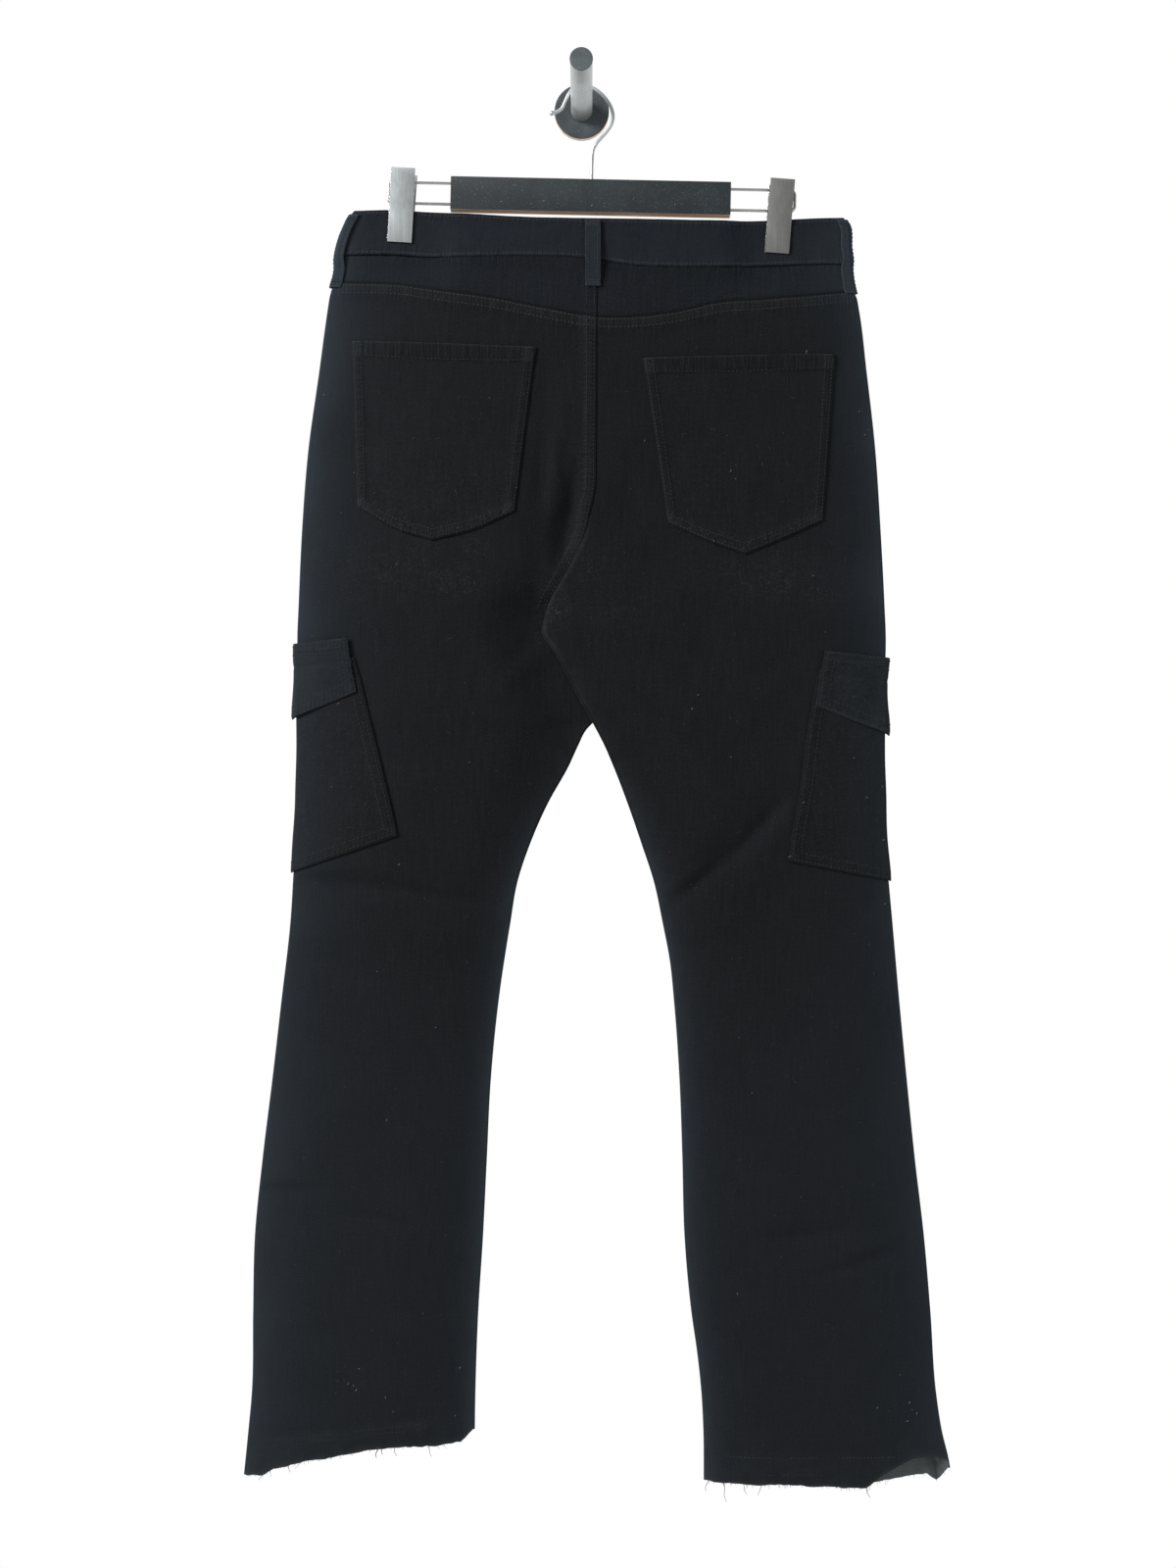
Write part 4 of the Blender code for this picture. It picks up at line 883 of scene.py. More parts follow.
def surface_frame(place, u, v, step=0.4):
    """Points of a surface and its outward normals there."""
    here = place(u, v)
    along_u = place(u + step, v) - place(u - step, v)
    along_v = place(u, v + step) - place(u, v - step)
    normal = unit(np.cross(along_u, along_v))
    at_side = np.abs(normal[..., 1:2]) < 0.35
    sideways, forward = stacked(np.sign(here[..., 0]), 0, 0), stacked(0, here[..., 1] - PLANE_Y, 0)
    inward = np.sum(normal * np.where(at_side, sideways, forward), -1, keepdims=True) < 0
    return here, normal * np.where(inward, -1, 1)


def stitch_row(piece, place, path, pitch=STITCH_PITCH, length=STITCH_LENGTH, crosswise=False):
    """Adds a row of stitches along a path of (u, v) points in mm on the surface place(u, v)."""
    path = np.array(path, float)
    reach = reach_along(path)
    centres = np.arange(pitch / 2, reach[-1] - pitch / 3, pitch)
    if not len(centres):
        return

    def on_path(at):
        return np.interp(at, reach, path[:, 0]), np.interp(at, reach, path[:, 1])

    here, normal = surface_frame(place, *on_path(centres))
    along = place(*on_path(centres + 0.6)) - place(*on_path(centres - 0.6))
    if crosswise:
        along = np.cross(along, normal)
    stitch_runs.setdefault(piece, []).append((here, unit(along) * length / 2, normal))


def beside_seam(piece, place, seam, start, end, count):
    """A sewn seam's two rows, between two heights."""
    z = np.linspace(start, end, count)
    for inset in SEWN_ROWS:
        stitch_row(piece, place, stacked(seam(z) - inset, z))


def bar_tack(piece, place, start, end, width=2.2):
    """A short dense bar of thread from one (u, v) to another."""
    stitch_row(piece, place, [start, end], 0.62, width, crosswise=True)


def build_stitches():
    angles = np.arange(STITCH_SIDES) * 2 * np.pi / STITCH_SIDES
    for piece, runs in stitch_runs.items():
        here, half, normal = (np.concatenate(part) for part in zip(*runs, strict=True))
        sideways = unit(np.cross(half, normal))
        rings = []
        for reach, thick, lift in STITCH_RINGS:
            middle = here + half * reach + normal * lift * STITCH_RADIUS
            for angle in angles:
                across = sideways * math.cos(angle) + normal * math.sin(angle)
                rings.append(middle + across * thick * STITCH_RADIUS)
        points = np.stack(rings, 1)
        quads = ring_quads(len(STITCH_RINGS), STITCH_SIDES)[:, [0, 3, 2, 1]]
        quads = quads + (np.arange(len(here)) * points.shape[1])[:, None, None]
        mesh = new_mesh(piece, points, quads.reshape(-1, 4).tolist())
        as_piece(piece, mesh, [dark_thread if piece in DARK_SEWING else sewing_thread])


# --- legs --------------------------------------------------------------------------------
TUCK_SHARES = np.array([0, 0.33, 0.67])
TOP_FADE = 75.0  # over this height a panel's rows come to follow its top line
# How strongly painted sheen pales each leg near its inseam below the crotch.
INNER_PAINTED_SHEEN = {"left": 0.52, "right": 0.4}
SCOOP_SHARES = (0, 0.17, 0.34, 0.51, 0.66, 0.78, 0.88, 0.95, 1)
SCOOP_EASING = 1.7
scoop_inset = curve_through(
    [(SCOOP_TOP_Z - SCOOP_DEPTH * s, SCOOP_WIDTH * (1 - s**2) ** 0.7) for s in SCOOP_SHARES]
)


def leg_columns(side, face, z, outer, shares):
    """x of each column at heights z: shares run from the hiding edge to the outer edge."""
    inner, way = inner_edge(side, face, z), SIDEWAYS[side]
    second = inner + way * EDGE_STEPS[0]
    if not leads(side, face):
        hidden = seam_line[OTHER[side]](z) + way * EDGE_STEPS[0]
        second = np.where(z > SPLIT_Z, hidden, second)
    tuck = mix(inner, second, TUCK_SHARES)
    return np.concatenate([tuck, mix(second, outer(z), shares)], axis=-1)


def leg_grid(side, face, start, height_at, outer, shares):
    """x and z of a leg piece's points: rows start level, and height_at(x) gives their heights."""
    x = leg_columns(side, face, start, outer, shares)
    for _ in range(SETTLING):
        z = height_at(x)
        each = (leg_columns(side, face, column[:, None], outer, shares) for column in z.T)
        x = np.stack([columns[:, c] for c, columns in enumerate(each)], 1)
    return x, z


def turn_in(grid, side, face, at_outer, share=1.0):
    """Adds columns that turn a panel's edge in to the middle plane, as at a pressed seam."""
    edge = grid[:, -1] if at_outer else grid[:, 0]
    way = SIDEWAYS[side] * (1 if at_outer else -1)
    radius = FOLD_TURN * share
    extra = []
    for angle in TURN_ANGLES:
        sideways, inward = way * radius * np.sin(angle), radius * (1 - np.cos(angle))
        extra.append(edge + stacked(sideways, -OUTWARD[face] * inward, 0.0))
    if at_outer:
        return np.concatenate([grid, np.stack(extra, 1)], 1)
    return np.concatenate([np.stack(extra[::-1], 1), grid], 1)


def leg_outer(side):
    return lambda z: outer_edge[side](z) - SIDEWAYS[side] * EDGE_INSET


def scoop_edge(side):
    def read(z):
        inset = np.where(z > SCOOP_LOW_Z, scoop_inset(z), 0.0)
        return outer_edge[side](z) - SIDEWAYS[side] * np.maximum(inset, EDGE_INSET)

    return read


def eased(count, power, start=0.0, end=1.0):
    """Shares from 0 to 1 that come closer together towards the end."""
    return 1 - (1 - np.linspace(start, end, count)) ** power


def painted_side_sheen(side, x, z):
    """Painted sheen: the cloth is painted paler towards the side folds."""
    away = np.abs(x - outer_edge[side](z))
    near = 0.58 * mix(1, 0.6, smoothstep(-z, 560, 680)) * np.exp(-away / 17)
    return (near + 0.14 * np.exp(-away / 80)) * (0.85 + 0.15 * soft_noise(x, z, 40, 70))


def doubled_beside(seam):
    """Where the allowance beside a middle seam doubles the cloth, by the distance from it."""
    return 1 - smoothstep(seam, SEAM_ALLOWANCE - 1.5, SEAM_ALLOWANCE + 2)


def on_hem_lines(side, x, z):
    """For each crease line of the old hem: whether between its ends, and the height above it."""
    for x0, z0, x1, z1 in HEM_LINES[side]:
        inside = smoothstep(x, x0 - 4, x0 + 6) * (1 - smoothstep(x, x1 - 6, x1 + 4))
        yield inside, z - mix(z0, z1, (x - x0) / (x1 - x0))


def panel_relief(side, face, x, z):
    """What stands out of a leg panel besides its folds: doubled seams and the old hem."""
    middle = np.abs(x - inner_edge(side, face, z))
    joined = smoothstep(-z, 150, 175) * (1 - smoothstep(-z, 380, 424))
    if side == "left":
        rows = 0.1 * bump(middle - 2, 1.3), 0.12 * bump(middle - 8, 1.3)
        relief = joined * (0.5 * doubled_beside(middle) - rows[0] - rows[1])
    else:
        relief = -0.15 * joined * bump(middle, 3.5)
    if face == "back":
        below_yoke = yoke_seam(x) - z
        doubled = 1 - smoothstep(below_yoke, YOKE_ALLOWANCE - 2, YOKE_ALLOWANCE + 2)
        relief = relief + doubled * (0.55 + 0.3 * soft_noise(x, z * 0.15, 6.5, 73))
        relief = relief - 0.25 * bump(below_yoke - 2, 1.5) - 0.25 * bump(below_yoke - 8.5, 1.5)
    for inside, away in on_hem_lines(side, x, z):
        relief = relief + inside * (0.5 * bump(away, 2.6) - 0.4 * bump(away - 4.5, 2.8))
    return relief


def panel_finish_and_painted_light(side, face, x, z):
    """Wear, pilling and puckering of a leg panel, with its painted sheen, its paleness lower down
    and its painted seam shade.
    """
    to_outer, to_inner = np.abs(x - outer_edge[side](z)), np.abs(x - inner_edge(side, face, z))
    rub = rubbed(x, z, 6, 71)
    inseam = (0.2 * bump(to_inner, 2.5) + 0.12 * bump(to_inner, 9)) * rub * smoothstep(-z, 425, 450)
    wear = 0.26 * bump(to_outer, 3.0) * rub + inseam
    # Painted sheen: paler towards the side fold and, below the crotch, towards the inseam.
    faded = painted_side_sheen(side, x, z)
    faded = faded + INNER_PAINTED_SHEEN[side] * np.exp(-to_inner / 10) * smoothstep(-z, 520, 640)
    # Paler towards the lower legs.
    faded = faded + 0.09 * smoothstep(-z, 640, 900)
    down, across = 0.35 * bump(to_outer, 9), 0.0 * x
    shadow = 0.7 * bump(to_inner, 0.8) * smoothstep(-z, 170, 190) * (1 - smoothstep(-z, 560, 700))
    if side == "left":
        seam = smoothstep(-z, 170, 190) * (1 - smoothstep(-z, 395, 430))
        edges = 0.2 * bump(to_inner - 1.4, 0.9) + 0.04 * bump(to_inner - 5, 4)
        wear = wear + seam * edges * (0.35 + 0.65 * rub)
        across = across + 1.8 * seam * bump(to_inner - 6.5, 5)
    if face == "back":
        below_yoke = yoke_seam(x) - z
        edges = 0.34 * bump(below_yoke - 1.6, 1.0) + 0.08 * bump(below_yoke - 6, 6)
        wear = wear + edges * (0.4 + 0.6 * rub)
        down = np.maximum(down, bump(below_yoke - 6, 7))
        shadow = np.maximum(shadow, bump(below_yoke, 0.9))
        if side == "right":  # the seam's ridge over the seat
            ridge = bump(to_inner, 2.2) * smoothstep(-z, 330, 380) * (1 - smoothstep(-z, 440, 470))
            wear = wear + 0.9 * ridge * (0.4 + 0.6 * rub)
    for inside, away in on_hem_lines(side, x, z):
        line = 0.13 * inside * bump(away, 2.4) * (0.3 + 0.7 * rub)
        wear = wear + line * rubbed(x, 0, 24, 53)
    hem = z - hem_line[side, face](x)
    wear = wear + 0.75 * bump(hem, 2.2) * (0.4 + 0.6 * rub) + 0.16 * bump(hem - 10, 14) * rub
    pilling = 0.0 * x
    for px, pz, wide, high, much in PILLING[face]:
        patch = much * bump(np.hypot((x - px) / wide, (z - pz) / high), 1.0)
        pilling = np.maximum(pilling, patch)
    return {
        "wear": np.clip(wear, 0, 1), "pilling": pilling, "faded": np.clip(faded, 0, 1),
        "ribs_down": down, "ribs_across": across, "shadow": shadow,
    }


def frayed(x, seed):
    """The raw hem's ragged edge."""
    return 0.7 * soft_noise(x, 0, 9, seed) + 0.5 * soft_noise(x, 0, 3.2, seed + 1)


def build_leg(side, face):
    if face == "back":
        top, top_line, outer = BACK_TOP_Z, yoke_seam, leg_outer(side)
        bases = mix(top, BOTTOM_Z, spaced(top - BOTTOM_Z, ROW_STEP, HEM_STEPS))
        outer_share = 1.0
    else:
        top, top_line, outer = SCOOP_TOP_Z, front_top, scoop_edge(side)
        rest = mix(SCOOP_LOW_Z, BOTTOM_Z, spaced(SCOOP_LOW_Z - BOTTOM_Z, ROW_STEP, HEM_STEPS))
        bases = np.concatenate([mix(top, SCOOP_LOW_Z, eased(34, SCOOP_EASING)), rest[1:]])
        outer_share = smoothstep(-bases, -SCOOP_LOW_Z, -SCOOP_LOW_Z + 6)
    base, seed = bases[:, None], 40 + 7 * (side == "right") + 3 * (face == "front")

    def height_at(x):
        near_hem = smoothstep(-base, -HEM_FADE_Z, -BOTTOM_Z)
        ragged = hem_line[side, face](x) + frayed(x, seed)
        at_top = (top_line(x) - top) * smoothstep(base, top - TOP_FADE, top)
        return base + at_top + (ragged - BOTTOM_Z) * near_hem

    x, z = leg_grid(side, face, base, height_at, outer, spaced(235, LEG_STEP))
    finish_and_painted_light, relief = panel_finish_and_painted_light(side, face, x, z), panel_relief(side, face, x, z)
    if face == "front":
        opening = np.where(z > SCOOP_LOW_Z, np.abs(x - outer(z)), 99)
        finish_and_painted_light["wear"] = np.clip(finish_and_painted_light["wear"] + 0.6 * bump(opening, 1.6), 0, 1)
        relief = relief + 0.5 * bump(opening - 1.2, 2.2)
        if side == "right":  # its outer corner curls back and shows the reverse
            corner = smoothstep(x, 232, 262) * smoothstep(-z, 1108, 1136)
            relief = relief - 3.2 * corner * (0.6 + 0.4 * soft_noise(x, z, 12, 91))
            # Painted light: where the curled corner shows its reverse, wear is set full, so that
            # the reverse comes out pale in spite of the shade between the layers.
            shown = smoothstep(x, 236, 248) * smoothstep(-z, 1116, 1128)
            finish_and_painted_light["wear"] = np.maximum(finish_and_painted_light["wear"], shown)
            tab = 0.8 * bump(x - 292.5, 4.4) * smoothstep(-z, 1122, 1130)
            finish_and_painted_light["shadow"] = np.maximum(finish_and_painted_light["shadow"], tab)
    opens = (CROTCH_Z - 1, CROTCH_Z - 8) if leads(side, face) else (SPLIT_Z, SPLIT_Z - 10)
    inner_share = smoothstep(-bases, -opens[0], -opens[1])
    grid = turn_in(on_face(side, face, x, z, relief), side, face, True, outer_share)
    grid = turn_in(grid, side, face, False, inner_share)
    made = cloth(
        f"{face}_panel_{side}", grid, CLOTH, (0, OUTWARD[face], 0), turns=(1, 1), **finish_and_painted_light
    )
    declare_sheet(grid)


def on_panel(side, face, out=CLOTH / 2):
    return lambda x, z: on_face(side, face, x, z, panel_relief(side, face, x, z) + out)


FLY_BEND_Z = -262.0


def sew_legs():
    for side in LEFT_RIGHT:
        inner, outer = inner_edge(side, "back", BACK_TOP_Z), outer_edge[side](-165.0)
        x = np.linspace(inner + SIDEWAYS[side] * 1.5, outer - SIDEWAYS[side] * 2, 40)
        for below in (2.0, 8.5):
            stitch_row("stitches_back", on_panel(side, "back"), stacked(x, yoke_seam(x) - below))
    left_front = on_panel("left", "front")
    beside_seam("stitches_faint", on_panel("left", "back"), seam_line["right"], -181, -423, 60)
    beside_seam("stitches_front", left_front, seam_line["left"], -302, -424, 30)
    for inside in (34.0, 40.0):  # the fly's curved stitching
        down, turn = np.linspace(-141, FLY_BEND_Z, 20), np.linspace(0, 1, 14)[1:] * np.pi / 2
        bend_x = seam_line["left"](FLY_BEND_Z) - (inside - 2) * np.cos(turn) - 2
        bend_z = FLY_BEND_Z - (inside + 2) * np.sin(turn)
        x = np.concatenate([seam_line["left"](down) - inside, bend_x])
        stitch_row("stitches_front", left_front, stacked(x, np.concatenate([down, bend_z])))
    for side, lines in HEM_LINES.items():  # where the old hem was sewn
        for x0, z0, x1, z1 in lines:
            t = np.linspace(0, 1, 40)
            z = mix(z0, z1, t) + 0.5 * soft_noise(60 * t, 0, 9, 52)
            path, surface = stacked(mix(x0, x1, t), z), on_panel(side, "back", CLOTH / 2 - 0.25)
            for start, end in ((2, 11), (13, 19), (22, 34), (36, 39)):
                stitch_row("stitches_faint", surface, path[start:end], 2.9, 1.9)
    for side in LEFT_RIGHT:
        z = SCOOP_TOP_Z - SCOOP_DEPTH * eased(40, SCOOP_EASING, 0.03, 0.985)
        edge = scoop_edge(side)(z)
        slope = np.gradient(edge, z)
        lean = np.hypot(1, slope)
        for inset in SEWN_ROWS:
            x = edge - SIDEWAYS[side] * inset / lean
            path = stacked(x, z - inset * np.abs(slope) / lean)
            path = path[path[:, 1] > SCOOP_LOW_Z - 2]
            stitch_row("stitches_front", on_panel(side, "front"), path)


# --- yokes, front pocket facings and the waistband ---------------------------------------
def yoke_relief(side, x, z):
    below_band, above_seam = band_lower(x) - z, z - yoke_seam(x)
    middle = np.abs(x - seam_line["right"](z))
    relief = 0.35 * soft_noise(x, 0, 7, 76) * bump(below_band, 7) - 0.5 * bump(above_seam, 1.3)
    relief = relief + 0.4 * soft_noise(x, z, 30, 78) * smoothstep(above_seam, 2, 14)
    if side == "left":
        relief = relief + 0.5 * doubled_beside(middle)
        return relief - 0.2 * bump(middle - 2, 1.3) - 0.2 * bump(middle - 8, 1.3)
    return relief - 0.15 * bump(middle, 3)


def build_yoke(side):
    down = spaced(45, 2.2)[:, None]

    def height_at(x):
        return mix(band_lower(x), yoke_seam(x), down)

    start, shares = np.full(down.shape, -150.0), spaced(215, 2.6)
    x, z = leg_grid(side, "back", start, height_at, leg_outer(side), shares)
    below_band, above_seam = band_lower(x) - z, z - yoke_seam(x)
    rub, middle = rubbed(x, z, 5, 75), np.abs(x - inner_edge(side, "back", z))
    to_outer = np.abs(x - outer_edge[side](z))
    shadow = np.maximum(0.5 * bump(middle, 0.7), 0.8 * bump(below_band, 0.9))
    grid = turn_in(on_face(side, "back", x, z, yoke_relief(side, x, z)), side, "back", True)
    # Painted sheen pales the yoke towards the side fold.
    made = cloth(
        f"yoke_{side}", grid, CLOTH, (0, -1, 0), looks=cloth_yoke, turns=(0, 1),
        wear=0.22 * bump(to_outer, 3) * rub + 0.12 * bump(below_band, 5) * rub,
        faded=painted_side_sheen(side, x, z), ribs_down=0.7 * bump(below_band, 8),
        shadow=np.maximum(bump(above_seam, 1.0), shadow),
    )
    declare_sheet(grid)


def sew_yokes():
    def place(x, z):
        return on_face("left", "back", x, z, yoke_relief("left", x, z) + CLOTH / 2)

    beside_seam("stitches_faint", place, seam_line["right"], -134, -176, 16)


FACING_UNDER = 5.0  # how far a facing runs in under the opening's edge


def build_facing(side):
    """The hip piece that shows in the front pocket's opening."""
    shares, bases = spaced(96, 2.6), mix(SCOOP_TOP_Z, SCOOP_LOW_Z - 2, eased(30, 1.5))[:, None]
    near_top = smoothstep(bases, SCOOP_TOP_Z - TOP_FADE, SCOOP_TOP_Z)
    x = outer_edge[side](bases) + 0 * shares
    for _ in range(SETTLING):
        z = bases + (front_top(x) - SCOOP_TOP_Z) * near_top
        inset = np.where(z > SCOOP_LOW_Z, scoop_inset(z), 0) + FACING_UNDER
        x = outer_edge[side](z) - SIDEWAYS[side] * mix(inset, EDGE_INSET, shares)
    past_edge = SIDEWAYS[side] * (x - scoop_edge(side)(z))
    relief = -FACING_RECESS * (1 - smoothstep(shares, 0.6, 1))
    relief = relief - 0.8 * (1 - smoothstep(past_edge, -3, 4))
    grid = turn_in(on_face(side, "front", x, z, relief), side, "front", True)
    # Painted sheen pales the facing towards the side fold.
    made = cloth(
        f"front_pocket_facing_{side}", grid, CLOTH * 0.8, (0, 1, 0), f"pocket_facing_{side}",
        turns=(0, 1), wear=0.05, faded=painted_side_sheen(side, x, z),
    )
    declare_sheet(grid)


BAND_CENTRE = float(seam_line["left"](-110.0))
BAND_SIDES = tuple(float(outer_edge[side](-115.0)) for side in LEFT_RIGHT)


def either_side(depth, face, x, z):
    """A depth at places that may lie on both sides of the front's middle seam."""
    left, right = (depth(side, face, x, z) for side in LEFT_RIGHT)
    return np.where(x < seam_line["left"](z), left, right)


def band_place(kind, at, level, out=0.0):
    """Points of the waistband: kind is "front", "back" or a side, at a share or an angle."""
    at, level = np.broadcast_arrays(np.asarray(at, float), np.asarray(level, float))
    lower = front_top if kind == "front" else band_lower
    z = mix(-95.5, -132.0, level)
    for _ in range(3):
        if kind in OUTWARD:
            x = mix(outer_edge["left"](z), outer_edge["right"](z), at)
        else:
            x = outer_edge[kind](z)
        z = mix(band_upper(x), lower(x), level)
    if kind in SIDEWAYS:
        radius = np.hypot(PRESSED, BAND_PRESSED) + out
        return stacked(
            x + SIDEWAYS[kind] * radius * np.cos(at), PLANE_Y - radius * np.sin(at), z
        )
    depth = either_side(band_depth, kind, x, z)
    return stacked(x, PLANE_Y + OUTWARD[kind] * (depth + out), z)


def band_share(x):
    left, right = BAND_SIDES
    return (x - left) / (right - left)


def band_margins(level):
    """Distances from the waistband's upper and lower edges."""
    return level * BAND_HEIGHT, (1 - level) * BAND_HEIGHT


def band_relief(x, level):
    from_top, from_bottom = band_margins(level)
    relief = 0.25 * soft_noise(x, 0, 6.5, 81) * (bump(from_top, 6) + bump(from_bottom, 6))
    relief = relief + 0.45 * soft_noise(x, from_top, 26, 82) * np.sin(np.pi * level)
    relief = relief - 0.45 * bump(from_top, 0.9) - 0.45 * bump(from_bottom, 0.9)
    return relief - 0.22 * bump(from_top - 2.4, 1.2) - 0.22 * bump(from_bottom - 2.2, 1.2)


def on_band(kind, x, level):
    """Points of the waistband's outer surface."""
    return band_place(kind, band_share(x), level, band_relief(x, level) + BAND / 2)


def build_waistband():
    """One strip round the waist, whose left end laps over its right end at the front."""
    under_end = band_share(BAND_CENTRE - BAND_UNDERLAP)
    over_end, lapped, clear = (
        band_share(BAND_CENTRE + BAND_OVERLAP + past) for past in (0, 6, 46)
    )
    levels, near, far = spaced(BAND_HEIGHT, 1.9, (0.5, 1.2, 2.2)), 0.012, 0.988
    turn = np.linspace(-np.pi / 2, np.pi / 2, 9)[1:-1]
    parts = (
        ("front", under_end + (far - under_end) * spaced(230, BAND_STEP)), ("right", turn),
        ("back", np.linspace(far, near, round(430 / BAND_STEP))), ("left", -turn),
        ("front", near + (over_end - near) * spaced(228, BAND_STEP)),
    )
    columns, wear, faded = [], [], []
    for part, (kind, stations) in enumerate(parts):
        at, level = np.meshgrid(stations, levels)
        x = band_place(kind, at, level)[..., 0]
        grid = band_place(kind, at, level, band_relief(x, level))
        if part == 0:
            grid[..., 1] -= (BAND + 0.4) * (1 - smoothstep(at, lapped, clear))
        columns.append(grid)
        from_top, from_bottom = band_margins(level)
        rub = rubbed(x, from_top, 4, 83)
        line = 0.14 * bump(from_top - 1, 1.2) + 0.4 * bump(from_bottom - 1.6, 0.9)
        line = line + 0.14 * bump(from_bottom, 5)
        wear.append(0.1 * rub + line * (0.3 + 0.7 * rub))
        # Painted sheen pales the band towards its two sides.
        faded.append(0.5 * np.exp(-np.minimum(np.abs(x + 199), np.abs(x - 220)) / 14))
    grid, wear, faded = (np.concatenate(part, 1) for part in (columns, wear, faded))
    reach = reach_along(grid[9])
    from_top, from_bottom = band_margins(levels[:, None])
    made = cloth(
        "waistband", grid, BAND, None, across=reach, looks=cloth_trim, wear=wear, faded=faded,
        ribs_down=np.maximum(bump(from_top, 7), bump(from_bottom, 6)),
        shadow=bump(from_bottom, 0.7),
    )


def sew_waistband():
    over_end = band_share(BAND_CENTRE + BAND_OVERLAP - 3)
    for level in (2.4 / BAND_HEIGHT, 1 - 2.2 / BAND_HEIGHT):
        for kind, last in (("back", 0.99), ("front", over_end)):
            def place(u, v, kind=kind):
                return on_band(kind, u, v / BAND_HEIGHT)

            ends = [(mix(*BAND_SIDES, share), level * BAND_HEIGHT) for share in (0.01, last)]
            stitch_row(f"stitches_{kind}", place, ends)


# --- pockets, flaps and belt loops -------------------------------------------------------
POCKET_HEM = 13.0
POCKET_SEWN = 150.0  # a back pocket's width and height, as its stitches are measured


def patch_relief(from_top, from_side, from_low, hem, x, z, seed, crisp):
    """A sewn-on patch: pressed down at its edges, doubled in its hem, dented by stitches."""
    sewn = np.minimum(from_side, from_low)
    relief = -crisp * (0.6 * bump(sewn, 2.2) + 0.5 * bump(sewn, 1.2) + 0.12 * bump(sewn - 2, 1.0))
    relief = relief - 0.15 * crisp * bump(sewn - 7.6, 1.1)
    relief = relief + 0.28 * crisp * smoothstep(-sewn, -9.5, -7.5) * smoothstep(sewn, 0, 2)
    relief = relief + 0.5 * soft_noise(x, z, 34, seed) * smoothstep(sewn, 4, 24)
    if hem:
        doubled = 1 - smoothstep(from_top, hem - 0.8, hem + 0.8)
        relief = relief + doubled * (0.42 + 0.1 * soft_noise(x, 0, 5.5, seed + 1))
        relief = relief - 0.25 * bump(from_top - hem + 1, 0.9)
    return relief + 0.16 * soft_noise(x + z, 0, 6, seed + 2) * bump(sewn - 4.5, 4)


def patch_wear(from_top, from_side, from_low, hem, x, z, seed):
    """Wear of a sewn-on patch, and its puckers down and across."""
    rub = rubbed(x, z, 5, seed + 3)
    wear = 0.18 * bump(from_side - 1.0, 0.8) + 0.1 * bump(from_low - 3, 2.6)
    wear = wear + 0.6 * bump(from_top, 1.0)
    deep = max(hem, 8)
    down = 0.8 * (1 - smoothstep(from_top, deep - 1, deep + 1))
    down = np.maximum(down, bump(from_low - 4, 4.5))
    return np.clip(wear * (0.3 + 0.7 * rub), 0, 1), down, 0.9 * bump(from_side - 4.5, 4.5)


def tip_share(side):
    """How far across a back pocket its point is."""
    _, _, low_right, tip, low_left = BACK_POCKETS[side]
    return (tip[0] - low_left[0]) / (low_right[0] - low_left[0])


def pocket_place(side, share, down):
    """x and z on a back pocket, at shares across and down it."""
    top_left, top_right, *lower = BACK_POCKETS[side]
    point = tip_share(side)
    x_low, z_low = (
        np.interp(share, (0, point, 1), across) for across in zip(*lower[::-1], strict=True)
    )
    halves = np.where(share < point, share / point, (1 - share) / (1 - point))
    bulge = np.where(share < point, *POCKET_BULGE[side])
    z_low = z_low - bulge * np.sin(np.pi * np.clip(halves, 0, 1)) ** 1.5
    x_top, z_top = mix(top_left[0], top_right[0], share), mix(top_left[1], top_right[1], share)
    return mix(x_top, x_low, down), mix(z_top, z_low, down)


def pocket_margins(side, share, down):
    """Distances on a back pocket from its top, nearer side and lower edge, and x and z."""
    x, z = pocket_place(side, share, down)
    left_x, right_x = (pocket_place(side, 0 * share + end, down)[0] for end in (0, 1))
    top_z, low_z = (pocket_place(side, share, 0 * down + end)[1] for end in (0, 1))
    return top_z - z, np.minimum(x - left_x, right_x - x), (z - low_z) * 0.93, x, z


def on_pocket(side, out=PATCH / 2):
    def place(share, down):
        top, edge, low, x, z = pocket_margins(side, share, down)
        relief = patch_relief(top, edge, low, POCKET_HEM, x, z, 130 + len(side), 0.65)
        return on_face(side, "back", x, z, PATCH_OUT + relief + out)

    return place


def build_back_pocket(side):
    across, down = np.union1d(spaced(150, 1.9), [tip_share(side)]), spaced(148, 2.0)
    share, down = np.meshgrid(across, down)
    grid = on_pocket(side, 0.0)(share, down)
    top, edge, low, x, z = pocket_margins(side, share, down)
    wear, ribs_down, ribs_across = patch_wear(top, edge, low, POCKET_HEM, x, z, 140 + len(side))
    # Painted sheen pales the pocket towards the side fold.
    made = cloth(
        f"back_pocket_{side}", grid, PATCH, (0, -1, 0), looks=cloth_pocket, wear=wear,
        pilling=0.3 * bump(low - 4, 8) + 0.13 * bump(low - 30, 40),
        faded=0.6 * painted_side_sheen(side, x, z), ribs_down=ribs_down, ribs_across=ribs_across,
        shadow=0.8 * bump(np.minimum(edge, low), 0.8),
    )
    declare_sheet(grid)


def sew_back_pocket(side):
    surface, size = on_pocket(side), POCKET_SEWN

    def place(u, v):
        return surface(u / size, v / size)

    tip = size * tip_share(side)
    for inset in (2.0, 7.6):
        far, low = size - inset, size - inset * 1.12
        run = [(inset, 2), (inset, low), (tip, low), (far, low), (far, 2)]
        stitch_row("stitches_pockets", place, run)
    stitch_row("stitches_pockets", place, [(2, POCKET_HEM - 1), (size - 2, POCKET_HEM - 1)])
    for corner in (4.8, size - 4.8):
        bar_tack("stitches_pockets", place, (corner - 3, 1.2), (corner + 3, 1.2), 1.8)


CARGO_WRAP = 6.0  # this much of a folded patch each side of the fold is finely divided


